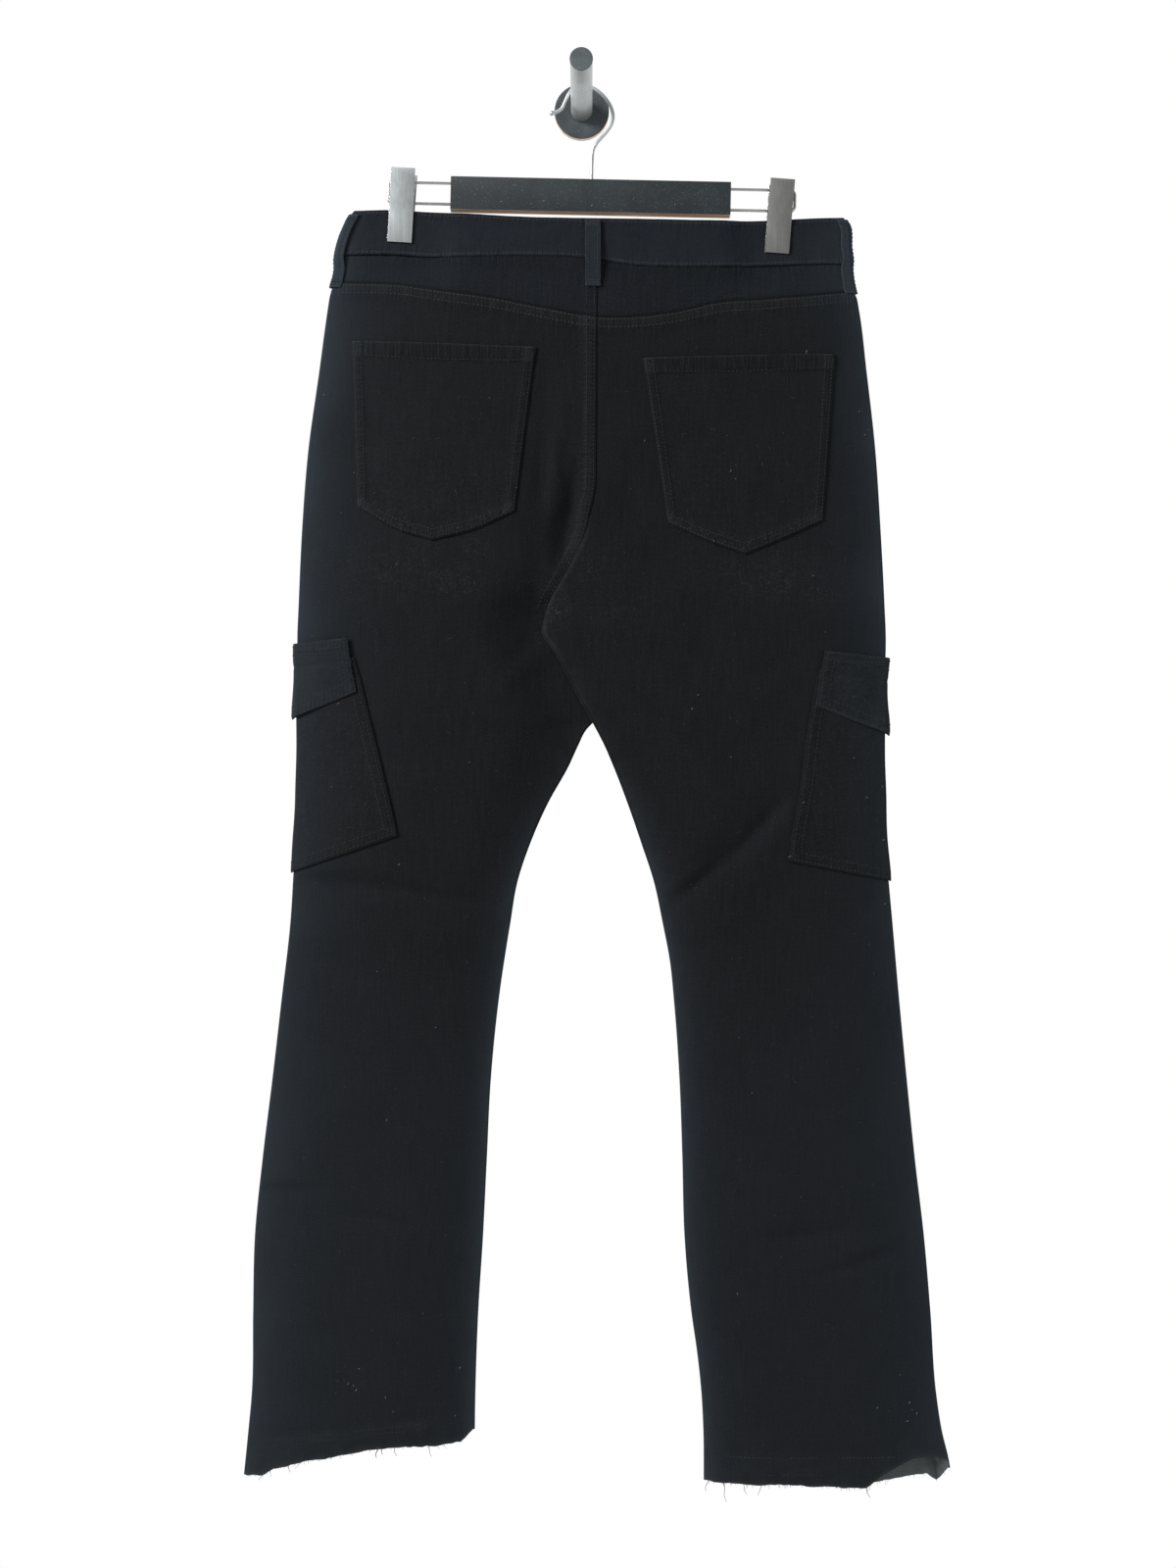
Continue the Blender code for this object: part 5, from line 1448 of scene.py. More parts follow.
def cargo_lines(side, flap):
    """Width at each share down, and top and bottom heights at the edge and at the fold."""
    form = CARGO[side]
    if flap:
        (top_width, top), (low_width, low) = form["flap_edge"]
        return line_through([(0, top_width), (1, low_width)]), top, low, *form["flap_at_fold"]
    top, low = form["edge"][0][1], form["edge"][-1][1]
    width_at = curve_through([((z - top) / (low - top), width) for width, z in form["edge"]])
    return width_at, top, low, *form["at_fold"]


def cargo_margins(side, flap, along, down):
    """Distances from a patch's top, nearer side and lower edge, and z."""
    width_at, top, low, fold_top, fold_low = cargo_lines(side, flap)
    edge = width_at(down)
    share = np.clip(np.abs(along) / edge, 0, 1)
    top_z, low_z = mix(fold_top, top, share), mix(fold_low, low, share)
    z = mix(top_z, low_z, down)
    return top_z - z, edge - np.abs(along), (z - low_z) * 0.95, z


def on_cargo(side, flap, out=PATCH / 2):
    snap_along, snap_z = CARGO[side]["snap"]

    def place(along, down):
        top, edge, low, z = cargo_margins(side, flap, along, down)
        relief = patch_relief(top, edge, low, 0, along, z, 150 + 10 * flap + len(side), 0.3)
        pressed = 0.9 * (1 - 0.9 * smoothstep(down, 0.4, 0.9)) if flap else 0.4
        relief = relief - pressed * bump(along, 4)
        if not flap:
            return round_side(side, z, along, face_depth, PATCH_OUT + relief + out)
        away = np.hypot(np.abs(along) - snap_along, z - snap_z)
        relief = relief + SNAP_BULGE * bump(away, 14) + 0.28 * bump(away - 5.4, 1.8)
        relief = relief - 0.1 * bump(away, 3)
        relief = relief - 0.5 * bump(top - 19, 2.0) - 0.2 * bump(top, 1.4)
        relief = relief + 2.0 * smoothstep(top, 20, 55) * bump(along, 22)
        return round_side(side, z, along, face_depth, FLAP_OUT + relief + out)

    return place


def folded_columns(side, flap, down):
    """Distances from the side fold of each column of a patch that goes round it."""
    edge = cargo_lines(side, flap)[0](down)
    wrap = np.linspace(0, CARGO_WRAP, 8)[None] + 0 * edge
    flat = CARGO_WRAP + (edge - CARGO_WRAP) * spaced(60, 2.2, (0.5, 1.1, 1.9))[1:][None]
    half = np.concatenate([wrap, flat], 1)
    return np.concatenate([-half[:, :0:-1], half], 1)


def build_cargo(side, flap):
    down = spaced(*((60, 1.7) if flap else (150, 2.2)), (0.5, 1.2, 2.0))[:, None]
    along = folded_columns(side, flap, down)
    grid = on_cargo(side, flap, 0.0)(along, down)
    top, edge, low, z = cargo_margins(side, flap, along, down)
    wear, ribs_down, ribs_across = patch_wear(top, edge, low, 0, along, z, 160 + len(side))
    wear, ribs_down, ribs_across = 0.55 * wear, 0.6 * ribs_down, 0.6 * ribs_across
    # Painted sheen pales the pockets near the side fold, and the flaps more, the left flap most.
    faded, pilling, shadow = 0.36 * np.exp(-np.abs(along) / 24), 0.15, 0.35
    if flap:
        ribs_across = np.maximum(ribs_across, 0.6 * bump(top - 10, 9))
        wear, faded = wear + 0.4 * bump(low - 0.8, 1.0), faded + {"left": 0.16, "right": 0.07}[side]
        pilling, shadow = {"left": 0.15, "right": 0.34}[side], 0.15
    folded = bump(along, 4) * (0.4 + 0.3 * soft_noise(along, z, 7, 165))
    made = cloth(
        f"cargo_{'flap' if flap else 'pocket'}_{side}", grid, PATCH, None, across=along,
        looks=cloth_pocket, wear=np.clip(wear + folded * 0.4, 0, 1), pilling=pilling,
        faded=np.clip(faded, 0, 1), ribs_down=ribs_down, ribs_across=ribs_across,
        shadow=shadow * bump(np.minimum(edge, low), 0.8),
    )
    declare_sheet(grid)


def sew_cargo(side, flap):
    width_at, top, low, fold_top, fold_low = cargo_lines(side, flap)
    height, surface = abs(top - low), on_cargo(side, flap)
    fold_scale = height / abs(fold_top - fold_low)

    def place(u, v):
        return surface(u, v / height)

    for way in (1, -1):
        for inset in (1.9, 7.6):
            v = np.linspace(inset if flap else 16, height - inset * 1.1, 12)
            inner = stacked(way * (width_at(v / height) - inset), v)
            u = np.linspace(width_at(1.0) - inset, 0, 14)[1:]
            low_v = height - inset * 1.1 * mix(fold_scale, 1, u / width_at(1.0))
            stitch_row("stitches_cargo", place, np.concatenate([inner, stacked(way * u, low_v)]))
            if flap:
                u = np.linspace(width_at(0.0) - 2, 0, 14)
                stitch_row("stitches_cargo", place, stacked(way * u, inset * 0.9))
        if flap:
            ends = ((way * (width_at(0.0) - inset), 1.5) for inset in (1, 7))
            bar_tack("stitches_cargo", place, *ends, 2.0)


def loop_bulge(across, down, rise=LOOP_BOW):
    edge = LOOP_WIDTH / 2 - np.abs(across)
    bow = rise * np.sin(np.pi * np.clip(down, 0, 1))
    bars = bump(down * LOOP_LENGTH - 3.5, 1.5) + bump((1 - down) * LOOP_LENGTH - 3.5, 1.5)
    bulge = bow - 0.35 * bump(edge, 1.0) - 0.25 * bump(edge - 2.6, 0.8) - 0.3 * bars
    return bulge + 0.12 * soft_noise(down * LOOP_LENGTH, across, 5, 95)


def loop_place(side, face, x_at, top_z, bottom_z, out=LOOP / 2):
    def place(across, down):
        z = mix(top_z, bottom_z, down)
        x = x_at + across
        under = band_depth(side, face, x, z) + BAND / 2
        below = face_depth(side, face, x, z) + CLOTH / 2
        line = band_lower(x) if face == "back" else front_top(x)
        depth = mix(under, below, smoothstep(-z, -line + 3, -line + 13))
        lift = depth + LOOP_OUT + LOOP / 2 + loop_bulge(across, down) + out
        return stacked(x, PLANE_Y + OUTWARD[face] * lift, z)

    return place


def side_loop_place(side, start, end, top_z, bottom_z, out=LOOP / 2):
    def place(across, down):
        along = (start + end) / 2 + across * (start - end) / LOOP_WIDTH
        z = mix(top_z, bottom_z, down)
        lift = BAND / 2 + 0.15 + LOOP / 2 + loop_bulge(across, down, 0.3)
        lift = lift - 1.5 * smoothstep(-z, 131, 142)
        return round_side(side, z, along, band_depth, lift + out)

    return place


BELT_LOOPS = {  # side, face and middle, or side and the ends round the fold; then the heights
    "belt_loop_back": (loop_place, ("right", "back", 9.4, -102.4, -157.4)),
    "belt_loop_front_left": (loop_place, ("left", "front", -72, -99.5, -152)),
    "belt_loop_front_right": (loop_place, ("right", "front", 96, -104, -156)),
    "belt_loop_side_left": (side_loop_place, ("left", 10.1, -2.4, -96.5, -156)),
    "belt_loop_side_right": (side_loop_place, ("right", 11, -1.5, -101, -161)),
}


def build_belt_loop(name):
    kind, form = BELT_LOOPS[name]
    half = LOOP_WIDTH / 2
    across = -half + LOOP_WIDTH * spaced(LOOP_WIDTH, 0.9, (0.35, 0.8, 1.4))
    across, down = np.meshgrid(across, spaced(56, 1.5, (0.4, 0.9, 1.6)))
    grid = kind(*form, 0.0)(across, down)
    edge, end = half - np.abs(across), np.minimum(down, 1 - down) * LOOP_LENGTH
    rub = rubbed(grid[..., 0] + across, grid[..., 2], 4, 96)
    wear = (0.75 * bump(edge, 0.9) + 0.8 * bump(end, 1.2) + 0.18) * (0.3 + 0.7 * rub)
    # Painted sheen pales the loops a little, and those round the side folds much more.
    made = cloth(
        name, grid, LOOP, None, across=across + 7 * form[-2], looks=cloth_trim,
        wear=np.clip(wear, 0, 1), faded=0.15 if kind is loop_place else 0.6,
        ribs_down=0.5 * bump(end - 3, 5), ribs_across=0.5 * bump(edge, 3),
    )
    declare_sheet(grid)
    surface = kind(*form)

    def place(u, v):
        return surface(u, v / LOOP_LENGTH)

    for at in (-half + 2.6, half - 2.6):
        stitch_row("stitches_loops", place, [(at, 2), (at, LOOP_LENGTH - 2)], 3.0, 2.2)
    for at in (2.6, 4.4, LOOP_LENGTH - 4.4, LOOP_LENGTH - 2.6):
        bar_tack("stitches_loops", place, (-half + 1, at), (half - 1, at), 1.9)


# --- the fly, zip and button -------------------------------------------------------------
ZIP_INSIDE, ZIP_PITCH = 2 * CLOTH + 0.6, 2.2
TOOTH_WIDE, TOOTH_HIGH, TOOTH_DEEP = 2.6, 1.0, 1.5


def fly_grid(start, end, inside):
    down = spaced(FLY_TOP_Z - FLY_BOTTOM_Z, 4.0)[:, None]
    z = mix(FLY_TOP_Z, FLY_BOTTOM_Z, down)
    narrow = 1 - 0.55 * smoothstep(down, 0.7, 1)
    x = seam_line["left"](z) + mix(start, end, spaced(end - start, 3.0)) * narrow
    return stacked(x, PLANE_Y + either_side(face_depth, "front", x, z) - inside, z)


def build_fly():
    for name, start, end, thickness, inside, looks in (
        ("fly_facing", -36, -1, CLOTH, CLOTH + 0.35, cloth_face),
        ("fly_shield", -30, 9, CLOTH, 3 * CLOTH + 0.8, cloth_face),
        ("fly_zip", -15, 13, 0.8, ZIP_INSIDE, zip_tape),
    ):
        grid = fly_grid(start, end, inside)
        made = cloth(
            name, grid, thickness, (0, 1, 0), looks=looks, wear=0.05, ribs_down=0.2,
            ribs_across=0.2,
        )
        declare_sheet(grid)


def build_zip():
    """Teeth in two meshing rows, with the closed slider and its tab at the top."""
    shape = bmesh.new()

    def block(centre, size):
        made = bmesh.ops.create_cube(shape, size=1.0)["verts"]
        bmesh.ops.scale(shape, vec=Vector(size) * MM, verts=made)
        bmesh.ops.translate(shape, vec=Vector(centre) * MM, verts=made)

    def middle(z):
        x = float(seam_line["left"](z)) - 1.0
        return x, PLANE_Y + float(face_depth("left", "front", x, z)) - ZIP_INSIDE

    for z in np.arange(FLY_TOP_Z - 9, FLY_BOTTOM_Z + 14, -ZIP_PITCH):
        for way in (-1, 1):
            at = float(z) + (ZIP_PITCH / 2 if way > 0 else 0)
            x, y = middle(at)
            block((x + way * 0.75, y - 0.3, at), (TOOTH_WIDE, TOOTH_DEEP, TOOTH_HIGH))
    top = FLY_TOP_Z - 6.0
    x, y = middle(top)
    block((x, y - 0.3, top), (7.5, 2.4, 9.0))
    block((x, y + 1.15, top - 1), (3.4, 0.7, 5.0))
    block((x, y + 1.3, top - 11), (4.6, 0.6, 17.0))
    mesh = bpy.data.meshes.new("zip_teeth")
    shape.to_mesh(mesh)
    shape.free()
    made = as_piece("zip_teeth_and_slider", mesh, [zip_metal])
    edges = made.modifiers.new("edges", "BEVEL")
    edges.width, edges.segments = 0.22 * MM, 2


BUTTON_Z, BUTTONHOLE_TOP_Z = -117.0, -97.5
BUTTON_PROFILE = (  # radius, distance from the cloth
    (0, 0), (6.2, 0), (8.5, 1.1), (8.5, 2.5), (7.7, 3.3), (6.7, 2.9), (6.1, 2.4), (4.4, 2.35),
    (4.0, 2.75), (3.2, 2.8), (2.7, 2.4), (0, 2.3),
)


def build_button():
    x, z = float(seam_line["left"](BUTTON_Z)), BUTTON_Z
    face_y = PLANE_Y + float(band_depth("left", "front", x, z)) + BAND / 2 + 0.3
    profile = rounded(BUTTON_PROFILE, 0.5, 3)
    button = turned("waist_button_turned", profile, button_metal, "waist_button")
    button.location = Vector((x, face_y, z)) * MM
    button.rotation_euler = (-math.pi / 2, 0, 0)

    def place(u, v):
        return on_band("front", x + u, (BUTTONHOLE_TOP_Z - (z + v)) / BAND_HEIGHT)

    turn = np.linspace(0, 2 * np.pi, 40)
    high = 1.9 + 0.8 * (np.cos(turn) > 0.6)
    hole = stacked(3.5 + 9.5 * np.cos(turn), high * np.sin(turn))
    stitch_row("stitches_front", place, hole, 0.62, 2.6, crosswise=True)


# --- the hanger --------------------------------------------------------------------------
HANGER_TILT, BAR_CENTRE = math.radians(1.2), (7.5, PLANE_Y, -79.0)
BAR_LENGTH, BORE_DEPTH = 231.0, 12.0
WIRE_RADIUS, WIRE_RUN_Z, WIRE_BEND = 1.2, (7.0, -10.2), 4.0
WIRE_ENDS_X = {"left": -160.8, "right": 177.6}
HOOK_WIRE_RADIUS, HOOK_BALL = 1.5, 2.1
HOOK_BEND = (  # x, z from the bar, round over the peg, to the tip
    (8.1, -75.0), (8.12, -70.0), (8.2, -62.0), (8.6, -50.0), (9.7, -41.2), (12.6, -36.0),
    (16.4, -31.6), (21.4, -25.9), (24.8, -20.1), (26.0, -13.6), (24.5, -7.0), (20.9, -0.8),
    (15.4, 5.2), (8.5, 9.6), (0.6, 11.4), (-6.2, 9.7), (-10.5, 4.6), (-13.6, -2.2), (-17.0, -8.2),
    (-21.2, -10.6), (-26.8, -11.9),
)
CLIP_LEAN, CLIP_TURN = math.radians(4.3), {"left": math.radians(-1.0), "right": 0.0}
CLIP_SHORTER, CLIP_DROP, BAR_DROP = 0.972, 2.4, 2.0  # towards the photograph's edges
SPRING_RADIUS, SPRING_REACH, SPRING_WIRE, SPRING_TURNS = 2.9, 5.0, 0.5, 7


def leaned(points, angle, centre):
    """Points of a part's own frame, turned by an angle about Y and moved to its centre."""
    turn = np.array(Matrix.Rotation(angle, 3, "Y"))
    return np.asarray(points, float) @ turn.T + np.array(centre)


def bevelled_copy(node, materials, width, bare_side=None, rim=0):
    """A node's own form with its edges rounded. Faces towards bare_side get the second looks,
    and the rounded edges those of the number rim."""
    shape = bmesh.new()
    shape.from_mesh(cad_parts[node].data)
    bmesh.ops.remove_doubles(shape, verts=shape.verts, dist=2e-5)
    nearly_flat = math.radians(1.5)
    bmesh.ops.dissolve_limit(
        shape, angle_limit=nearly_flat, verts=shape.verts, edges=shape.edges
    )
    for facet in shape.faces:
        facet.material_index = int(bare_side is not None and bare_side(facet.normal))
        facet.smooth = True
    mesh = bpy.data.meshes.new(f"{node}_finished")
    shape.to_mesh(mesh)
    shape.free()
    made = as_piece(f"{node}_finished", mesh, materials, node)
    edges = made.modifiers.new("edges", "BEVEL")
    edges.width, edges.segments = width * MM, 3
    edges.limit_method, edges.angle_limit = "ANGLE", math.radians(28)
    edges.harden_normals, edges.material = True, rim
    return made


def build_wires():
    for side, way in SIDEWAYS.items():
        inside = way * (BAR_LENGTH / 2 - BORE_DEPTH + 2)
        end = WIRE_ENDS_X[side] - BAR_CENTRE[0] - way * WIRE_RADIUS
        straight = end - way * (WIRE_BEND + 12)
        upper, lower = WIRE_RUN_Z
        points = [(inside, 0, upper), (straight, 0, upper)]
        for first, corner_z in ((90, upper - WIRE_BEND), (0, lower + WIRE_BEND)):
            for degrees in range(first, first - 91, -9):
                angle = math.radians(degrees)
                x = end - way * WIRE_BEND + way * WIRE_BEND * math.cos(angle)
                points.append((x, 0, corner_z + WIRE_BEND * math.sin(angle)))
        points += [(straight, 0, lower), (inside, 0, lower)]
        points = leaned(points, HANGER_TILT, BAR_CENTRE)
        mesh = tube_mesh(f"wire_{side}", [(points, np.full(len(points), WIRE_RADIUS))], 14)
        name, node = f"hanger_wire_{side}_bent", f"hanger_wire_{side}"
        as_piece(name, mesh, [wire_steel], node)


def build_hook():
    points = smooth_path([(x, PLANE_Y, z) for x, z in HOOK_BEND], 1.0)
    from_tip = np.linalg.norm(points - points[-1], axis=1)
    ball = np.sqrt(np.maximum(HOOK_BALL**2 - (from_tip - HOOK_BALL) ** 2, 0.02))
    radii = np.where(from_tip < 2 * HOOK_BALL, ball, HOOK_WIRE_RADIUS)
    radii = np.where(from_tip > HOOK_BALL, np.maximum(radii, HOOK_WIRE_RADIUS), radii)
    mesh = tube_mesh("hook", [(points, radii)], 16)
    as_piece("hanger_hook_bent", mesh, [hook_steel], "hanger_hook")


def move_about(made, centre, turn, shorter, drop):
    """Turns a piece about a centre, in the plane of the hanger, and shortens and lowers it."""
    middle = Vector(centre) * MM
    down = Matrix.Translation((0, 0, -drop * MM)) @ Matrix.Translation(middle)
    resized = Matrix.Rotation(turn, 4, "Y") @ Matrix.Diagonal((1, 1, shorter, 1))
    made.matrix_world = down @ resized @ Matrix.Translation(-middle) @ made.matrix_world


def build_clips():
    for side, (x, z) in CLIP_MIDDLES.items():
        centre, looks = (x, PLANE_Y, z), [clip_steel[side], clip_rim]
        for face in OUTWARD:
            jaw = bevelled_copy(f"clip_{side}_jaw_{face}", looks, 0.75, rim=1)
            move_about(jaw, centre, CLIP_TURN[side], CLIP_SHORTER, CLIP_DROP)
        bevelled_copy(f"clip_{side}_pin", [wire_steel], 0.3)
        drop = -math.tan(HANGER_TILT) * (x - BAR_CENTRE[0])
        pin_z = sum(BAR_CENTRE[2] + height + drop - z for height in WIRE_RUN_Z) / 2
        radius, reach = SPRING_RADIUS - SPRING_WIRE, SPRING_REACH - SPRING_WIRE
        angle = np.linspace(0, math.tau * SPRING_TURNS, SPRING_TURNS * 14)
        along = np.linspace(-reach, reach, len(angle))
        coil = stacked(along, radius * np.sin(angle), pin_z + radius * np.cos(angle))
        paths = [coil]
        for end, way in ((coil[0], -1), (coil[-1], 1)):
            arm = end, end + (0, way * 1.5, 7), end + (0, way * 2.6, 13)
            paths.append(smooth_path(arm, 1.5))
        paths = [(leaned(p, CLIP_LEAN, centre), np.full(len(p), SPRING_WIRE)) for p in paths]
        mesh, node = tube_mesh(f"spring_{side}", paths, 8), f"clip_{side}_spring"
        as_piece(f"{node}_coil", mesh, [wire_steel], node)


def build_hanger():
    looks = [bar_paint, wood]
    bar = bevelled_copy("hanger_bar", looks, 0.7, lambda normal: normal.z < -0.9)
    bar.location.z -= BAR_DROP * MM
    build_wires()
    build_hook()
    build_clips()


PEG_PLATE_RADIUS, PEG_PLATE_THICK, PEG_RADIUS, PEG_END = 23.0, 6.0, 8.9, 106.6
CAP_RADIUS, CAP_THICK, PEG_LEAN = 9.2, 1.4, math.radians(1.5)


def build_peg():
    """The plate's rim is bare wood, as its lower edge shows; its face is painted."""
    plate, thick, rod, end = PEG_PLATE_RADIUS, PEG_PLATE_THICK, PEG_RADIUS, PEG_END
    low, high = end + 0.3, end + 0.3 + CAP_THICK
    rim = (0, 0), (plate, 0), (plate, thick - 0.8)
    face = (plate, thick - 0.82), (plate, thick - 0.3), (plate - 1.0, thick), (0, thick)
    shaft = (0, thick + 0.3), (rod, thick + 0.3), (rod, end - 0.4), (rod - 0.5, end), (0, end)
    cap = (0, low), (CAP_RADIUS, low), (CAP_RADIUS, high), (0, high)
    for name, corners, radius, looks, node, slot, lean in (
        ("peg_plate_rim", rim, 0.6, plate_rim, "peg_plate", "peg_paint", 0.0),
        ("peg_plate_face", face, 0.5, peg_paint, None, "peg_paint", 0.0),
        ("peg_rod_turned", shaft, 0.2, peg_steel, "peg_rod", "peg_metal", PEG_LEAN),
        ("peg_cap_turned", cap, 0.4, cap_plastic, "peg_cap", "peg_cap", PEG_LEAN),
    ):
        made = turned(name, rounded(corners, radius), looks, node, 96)
        made.rotation_euler = (math.pi / 2 - lean, 0, 0)
        made.location = (0, 0, -math.tan(lean) * thick * MM)


# --- snaps, frayed hems, loose threads and lint ------------------------------------------
LOOSE_THREADS = {  # from a hem, as the photograph shows them: x, length, lean, thickness
    "left": (
        (-242, 9, 0.5, 0.3), (-167, 12, -0.2, 0.45), (-165, 9, 0.35, 0.4), (-154, 11, 0.2, 0.28),
        (-126, 13, 0.3, 0.25), (-262, 8, -0.5, 0.25),
    ),
    "right": (
        (105, 13, -0.3, 0.3), (117, 22, 0.12, 0.28), (133, 12, 0.25, 0.25), (148, 13, -0.2, 0.28),
        (234, 12, 0.15, 0.3), (238, 8, -0.4, 0.25), (293, 20, 0.35, 0.32), (291, 15, 0.6, 0.3),
        (289, 12, 0.2, 0.28),
    ),
}
LINT = {  # as the photograph shows it from behind: x, z, length, turn in degrees
    "left": (
        (-197.4, -342.8, 2.0, 15), (-151.8, -385.4, 1.8, 80), (-212.6, -245, 1.6, 0),
        (-187, -310, 1.4, 30), (-75, -352, 1.6, 0), (-222, -444, 2.2, 90), (-205, -568, 1.6, 0),
        (-150, -632, 2.6, 25), (-160, -842, 2.0, 60), (-120, -766, 1.5, 0),
        (-199.7, -1056, 2.0, 15), (-191.5, -1057.8, 3.4, 70), (-187, -1060, 2.6, 120),
        (-185, -1063.5, 2.2, 40), (-182.6, -1046, 1.6, 160), (-160.9, -1069.6, 2.4, 90),
        (-154.6, -1081.6, 1.6, 80), (-100.3, -1047, 2.0, 50), (-104, -1086, 1.5, 20),
        (-92, -548, 1.8, 0), (-200, -500, 3.0, 5), (-168, -720, 1.6, 30),
    ),
    "right": (
        (51.7, -285, 2.2, 60), (122, -309.7, 3.0, 60), (126, -316, 1.6, 20),
        (229, -258.7, 2.0, 40), (233.8, -278, 1.8, 0), (237, -274, 1.4, 70),
        (184.9, -211, 4.0, 65), (108, -367, 2.0, 80), (190, -395, 2.0, 0), (95.8, -493, 2.4, 20),
        (90.8, -504.4, 2.2, 60), (200.5, -441, 2.0, 80), (182, -581.6, 3.0, 30),
        (235, -577, 2.2, 0), (224, -544.5, 1.6, 0), (170.5, -625.5, 3.2, 30),
        (248, -568, 2.4, 90), (249, -612, 2.2, 5), (250, -665, 2.0, 15), (122.6, -544, 1.6, 0),
        (240.7, -722, 2.0, 70), (140, -820, 1.6, 0), (180, -905, 1.8, 20), (128, -985, 1.5, 80),
        (262, -1052, 2.0, 20), (270, -1075, 2.4, 75), (276, -1084, 2.6, 50),
        (268, -1090, 2.0, 10), (272, -1081, 2.0, 120), (243, -1078, 2.0, 60),
    ),
}
BAR_SPECKS = (  # x, z, length, turn in degrees
    (-66.4, -86.1, 2.2, 20), (-64.2, -87.4, 1.0, 80), (-76.8, -79.7, 1.6, 60),
    (-5.2, -70.6, 1.4, 10), (8.5, -89.3, 1.6, 30), (19.0, -87.7, 1.2, 100), (43, -84, 0.9, 40),
    (77, -88.5, 1.1, 70), (-31, -85.5, 0.9, 0), (96, -79, 0.8, 50),
)
THREAD_FLOOR_Z = cad_box[0][2] / MM - 24  # no thread hangs lower


def build_snaps():
    for side in LEFT_RIGHT:
        for face in OUTWARD:
            bevelled_copy(f"cargo_snap_{side}_{face}", [button_metal], 0.2)


def inside_shape(x, z, corners):
    """Whether places lie in a convex outline."""
    corners = np.array(corners, float)
    edges = zip(np.roll(corners, -1, 0) - corners, corners, strict=True)
    signs = np.array([dx * (z - cz) - dz * (x - cx) for (dx, dz), (cx, cz) in edges])
    return np.all(signs <= 0, 0) | np.all(signs >= 0, 0)


def on_top(side, face, x, z, out=0.0):
    """A place on whatever lies outermost there: a panel, pocket or flap."""
    lift = panel_relief(side, face, x, z) + CLOTH / 2
    if face == "back":
        pocket = inside_shape(x, z, BACK_POCKETS[side])
        lift = np.where(pocket, PATCH_OUT + PATCH / 2 + 0.25, lift)
    along = np.abs(x - outer_edge[side](z))
    for flap, level in ((False, PATCH_OUT), (True, FLAP_OUT + 0.8)):
        width_at, top, low, fold_top, fold_low = cargo_lines(side, flap)
        share = np.clip(along / width_at((z - top) / (low - top)), 0, 1)
        inside = (z < mix(fold_top, top, share)) & (z > mix(fold_low, low, share)) & (share < 1)
        lift = np.where(inside, level + PATCH / 2 + 0.3, lift)
    return on_face(side, face, x, z, lift + out)


def above_hem(side, face, x, above, out):
    """A place just above a raw hem."""
    return on_face(side, face, [x], [float(hem_line[side, face](x)) + above], out)[0]


def fray_strand(random, side, face, x, length, droop):
    """A thread's path from a raw hem: down, with a wander in x and y."""
    t = np.linspace(0, 1, 5 if length < 6 else 9)
    base = above_hem(side, face, x, 1.2, random.uniform(-0.55, 0.55))
    lean, curl = random.normal(0, 0.35), random.normal(0, 0.5)
    drift = length * (lean * t + curl * t * t * 0.5)
    swing = 0.35 * length * np.sin(t * random.uniform(1, 3.5)) * random.normal(0, 0.35)
    out = OUTWARD[face] * (0.25 * length * t * random.normal(0.1, 0.35)) + swing
    path = base + stacked(drift, out, -length * (t - droop * t * t * 0.3))
    path[:, 2] = np.maximum(path[:, 2], THREAD_FLOOR_Z)
    return path


def build_frayed_hems():
    random = np.random.default_rng(404)
    paths = []
    for side, face in HEM:
        low, high = sorted(float(edge[side](-1120.0)) for edge in (seam_line, outer_edge))
        for x in np.arange(low + 1.5, high - 2.5, 0.85):
            if random.random() < 0.16:
                continue
            length = float(np.clip(random.gamma(2.0, 0.95), 0.7, 7.5))
            x = float(x + random.uniform(-0.4, 0.4))
            path = fray_strand(random, side, face, x, length, random.random())
            paths.append((path, np.linspace(random.uniform(0.15, 0.24), 0.07, len(path))))
    for side, threads in LOOSE_THREADS.items():
        for x, length, lean, thick in threads:
            t = np.linspace(0, 1, 12)
            base = above_hem(side, "back", x, 1.5, 0.5)
            length *= 0.75
            wave = 1.1 * np.sin(t * random.uniform(3, 7) + random.uniform(0, 3))
            out = -0.6 * t - 0.5 * wave * t
            path = base + stacked(lean * length * t + wave * t, out, -length * t)
            paths.append((path, np.linspace(thick, 0.55 * thick, 12)))
    as_piece("frayed_threads", tube_mesh("frayed_threads", paths, 4), [fray_thread])


def tapered(t, thick):
    """Radii of a fibre that is thinner at its ends, for t from -0.5 to 0.5."""
    return thick * np.sqrt(1.05 - (2 * t) ** 2)


def fibre(random, side, face, x, z, length, degrees, curl, thick):
    """A short curved thread lying on whatever is outermost there."""
    t, angle = np.linspace(-0.5, 0.5, 8), math.radians(degrees)
    bow = length * curl * (np.sin(t * random.uniform(3, 7) + random.uniform(-1, 1)) - t)
    across = x + t * length * math.cos(angle) - bow * math.sin(angle)
    height = z + t * length * math.sin(angle) + bow * math.cos(angle)
    path = on_top(side, face, across, height, 0.25)
    path[:, 1] += OUTWARD[face] * random.uniform(0, 0.4) * (1 - 4 * t * t)
    return path, tapered(t, thick)


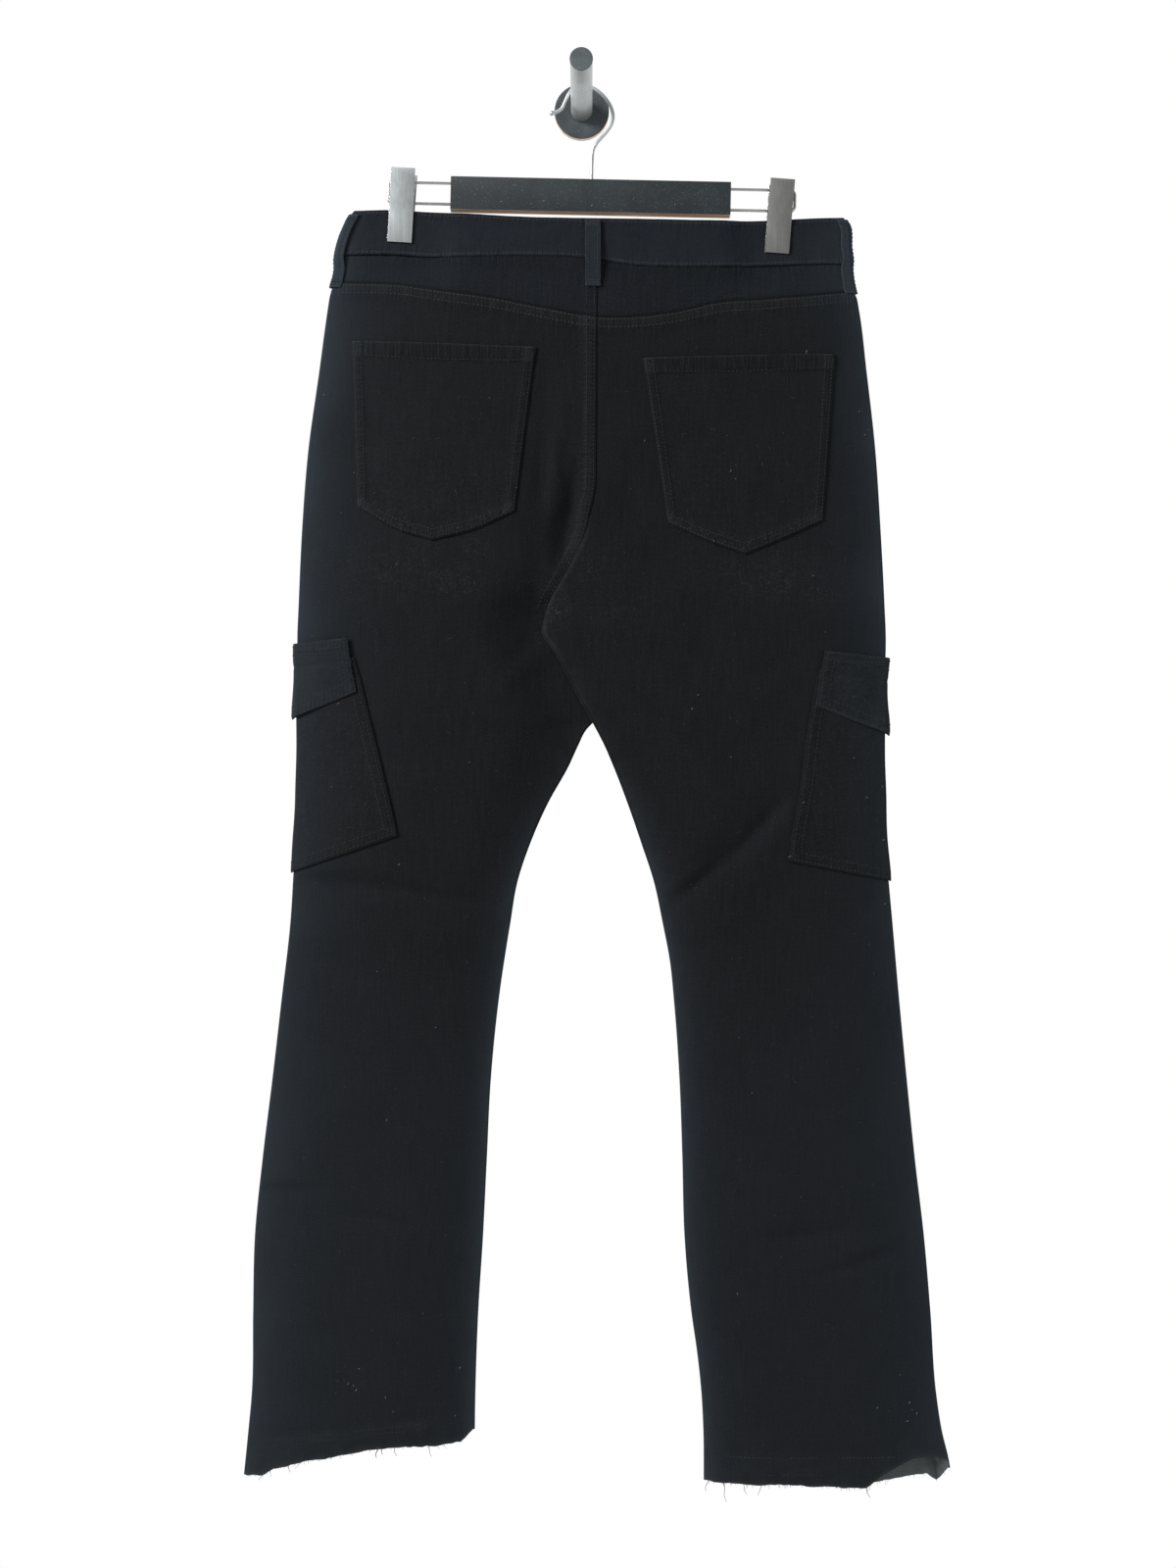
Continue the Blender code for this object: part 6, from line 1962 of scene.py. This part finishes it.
def build_lint():
    random = np.random.default_rng(77)
    bright, faint = [], []
    for side, fibres in LINT.items():
        for x, z, length, degrees in fibres:
            thick, length = random.uniform(0.17, 0.21), 0.8 * length
            bright.append(fibre(random, side, "back", x, z, length, degrees, 0.2, thick))
    for side in LEFT_RIGHT:
        for face, count in (("back", 230), ("front", 260)):
            for _ in range(count):
                z = -random.uniform(190, 1110)
                inner, outer = float(inner_edge(side, face, z)), float(outer_edge[side](z))
                x = mix(inner, outer, random.uniform(0.06, 0.95))
                if random.random() < 0.5:
                    length, thick = random.uniform(0.7, 1.8), random.uniform(0.12, 0.2)
                else:
                    length, thick = random.uniform(2.5, 6), random.uniform(0.06, 0.1)
                degrees = random.uniform(0, 180)
                faint.append(fibre(random, side, face, x, z, length, degrees, 0.3, thick))
    bar_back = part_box("hanger_bar")[0][1] / MM  # its face towards the jeans' back
    for x, z, length, degrees in BAR_SPECKS:
        t, angle = np.linspace(-0.5, 0.5, 5), math.radians(degrees)
        across, height = x + length * t * math.cos(angle), z + length * t * math.sin(angle)
        bright.append((stacked(across, bar_back - 0.1, height), tapered(t, 0.3)))
    as_piece("lint", tube_mesh("lint", bright, 5), [lint_fibre])
    as_piece("fluff", tube_mesh("fluff", faint, 4), [fluff_fibre])


# --- lights, camera and floor ------------------------------------------------------------
CAMERA_PLACE = Vector((0.0053, -1.5, -0.566))
FOCAL_PX, LONG_SIDE_PX, SENSOR_MM = 1812, 1600, 36.0
FLOOR_Z, FLOOR_CORNERS = -1.95, ((-2.2, -2.4), (2.2, -2.4), (2.2, 1.5), (-2.2, 1.5))
LIT_MIDDLE = (0, 0, -0.6)


def build_camera():
    data = bpy.data.cameras.new("camera")
    data.sensor_width = SENSOR_MM
    data.lens = FOCAL_PX / LONG_SIDE_PX * SENSOR_MM
    data.clip_start, data.clip_end = 0.05, 50
    camera = linked(bpy.data.objects.new("camera", data))
    camera.location = CAMERA_PLACE
    camera.rotation_euler = (math.pi / 2, 0, 0)
    bpy.context.scene.camera = camera


def area_light(name, place, size, power):
    data = bpy.data.lights.new(name, "AREA")
    data.shape, data.size, data.energy = "SQUARE", size, power
    light = linked(bpy.data.objects.new(name, data))
    light.location = place
    aim = Vector(LIT_MIDDLE) - Vector(place)
    light.rotation_euler = aim.to_track_quat("-Z", "Y").to_euler()
    return light


def build_stage():
    scene = bpy.context.scene
    scene.view_settings.view_transform = "Standard"
    scene.world = bpy.data.worlds.new("studio")
    studio = Nodes(scene.world, "Background")
    direction = studio.add("ShaderNodeTexCoord").outputs["Generated"]
    bright = studio.ramp(studio.parts(direction)["Y"], -0.45, 0.4, To_Min=0.5, To_Max=1.0)
    studio.shade(Color=(1, 1, 1, 1), Strength=bright)
    area_light("key", (-2.6, -1.7, 1.0), 1.2, 200)
    area_light("fill", (2.3, -1.9, -1.1), 1.6, 18)
    area_light("from_front_of_jeans", (1.6, 2.2, 0.7), 0.9, 70).visible_glossy = False
    mesh = bpy.data.meshes.new("floor")
    mesh.from_pydata([(x, y, FLOOR_Z) for x, y in FLOOR_CORNERS], [], [(0, 1, 2, 3)])
    pale = material("pale_floor")
    speckle = pale.noise(pale.place(), 3.0, 4)
    tint = pale.blend(speckle, colour(0.50, 0.50, 0.495), colour(0.56, 0.56, 0.555))
    mesh.materials.append(pale.shade(Base_Color=tint, Roughness=0.8))
    linked(bpy.data.objects.new("floor", mesh))


build_camera()
build_stage()
for side in LEFT_RIGHT:
    for face in OUTWARD:
        build_leg(side, face)
    build_yoke(side)
    build_facing(side)
    build_back_pocket(side)
    sew_back_pocket(side)
    for flap in (False, True):
        build_cargo(side, flap)
        sew_cargo(side, flap)
build_waistband()
for loop in BELT_LOOPS:
    build_belt_loop(loop)
build_fly()
build_zip()
build_button()
build_snaps()
build_hanger()
build_peg()
build_frayed_hems()
build_lint()
sew_legs()
sew_yokes()
sew_waistband()
build_stitches()
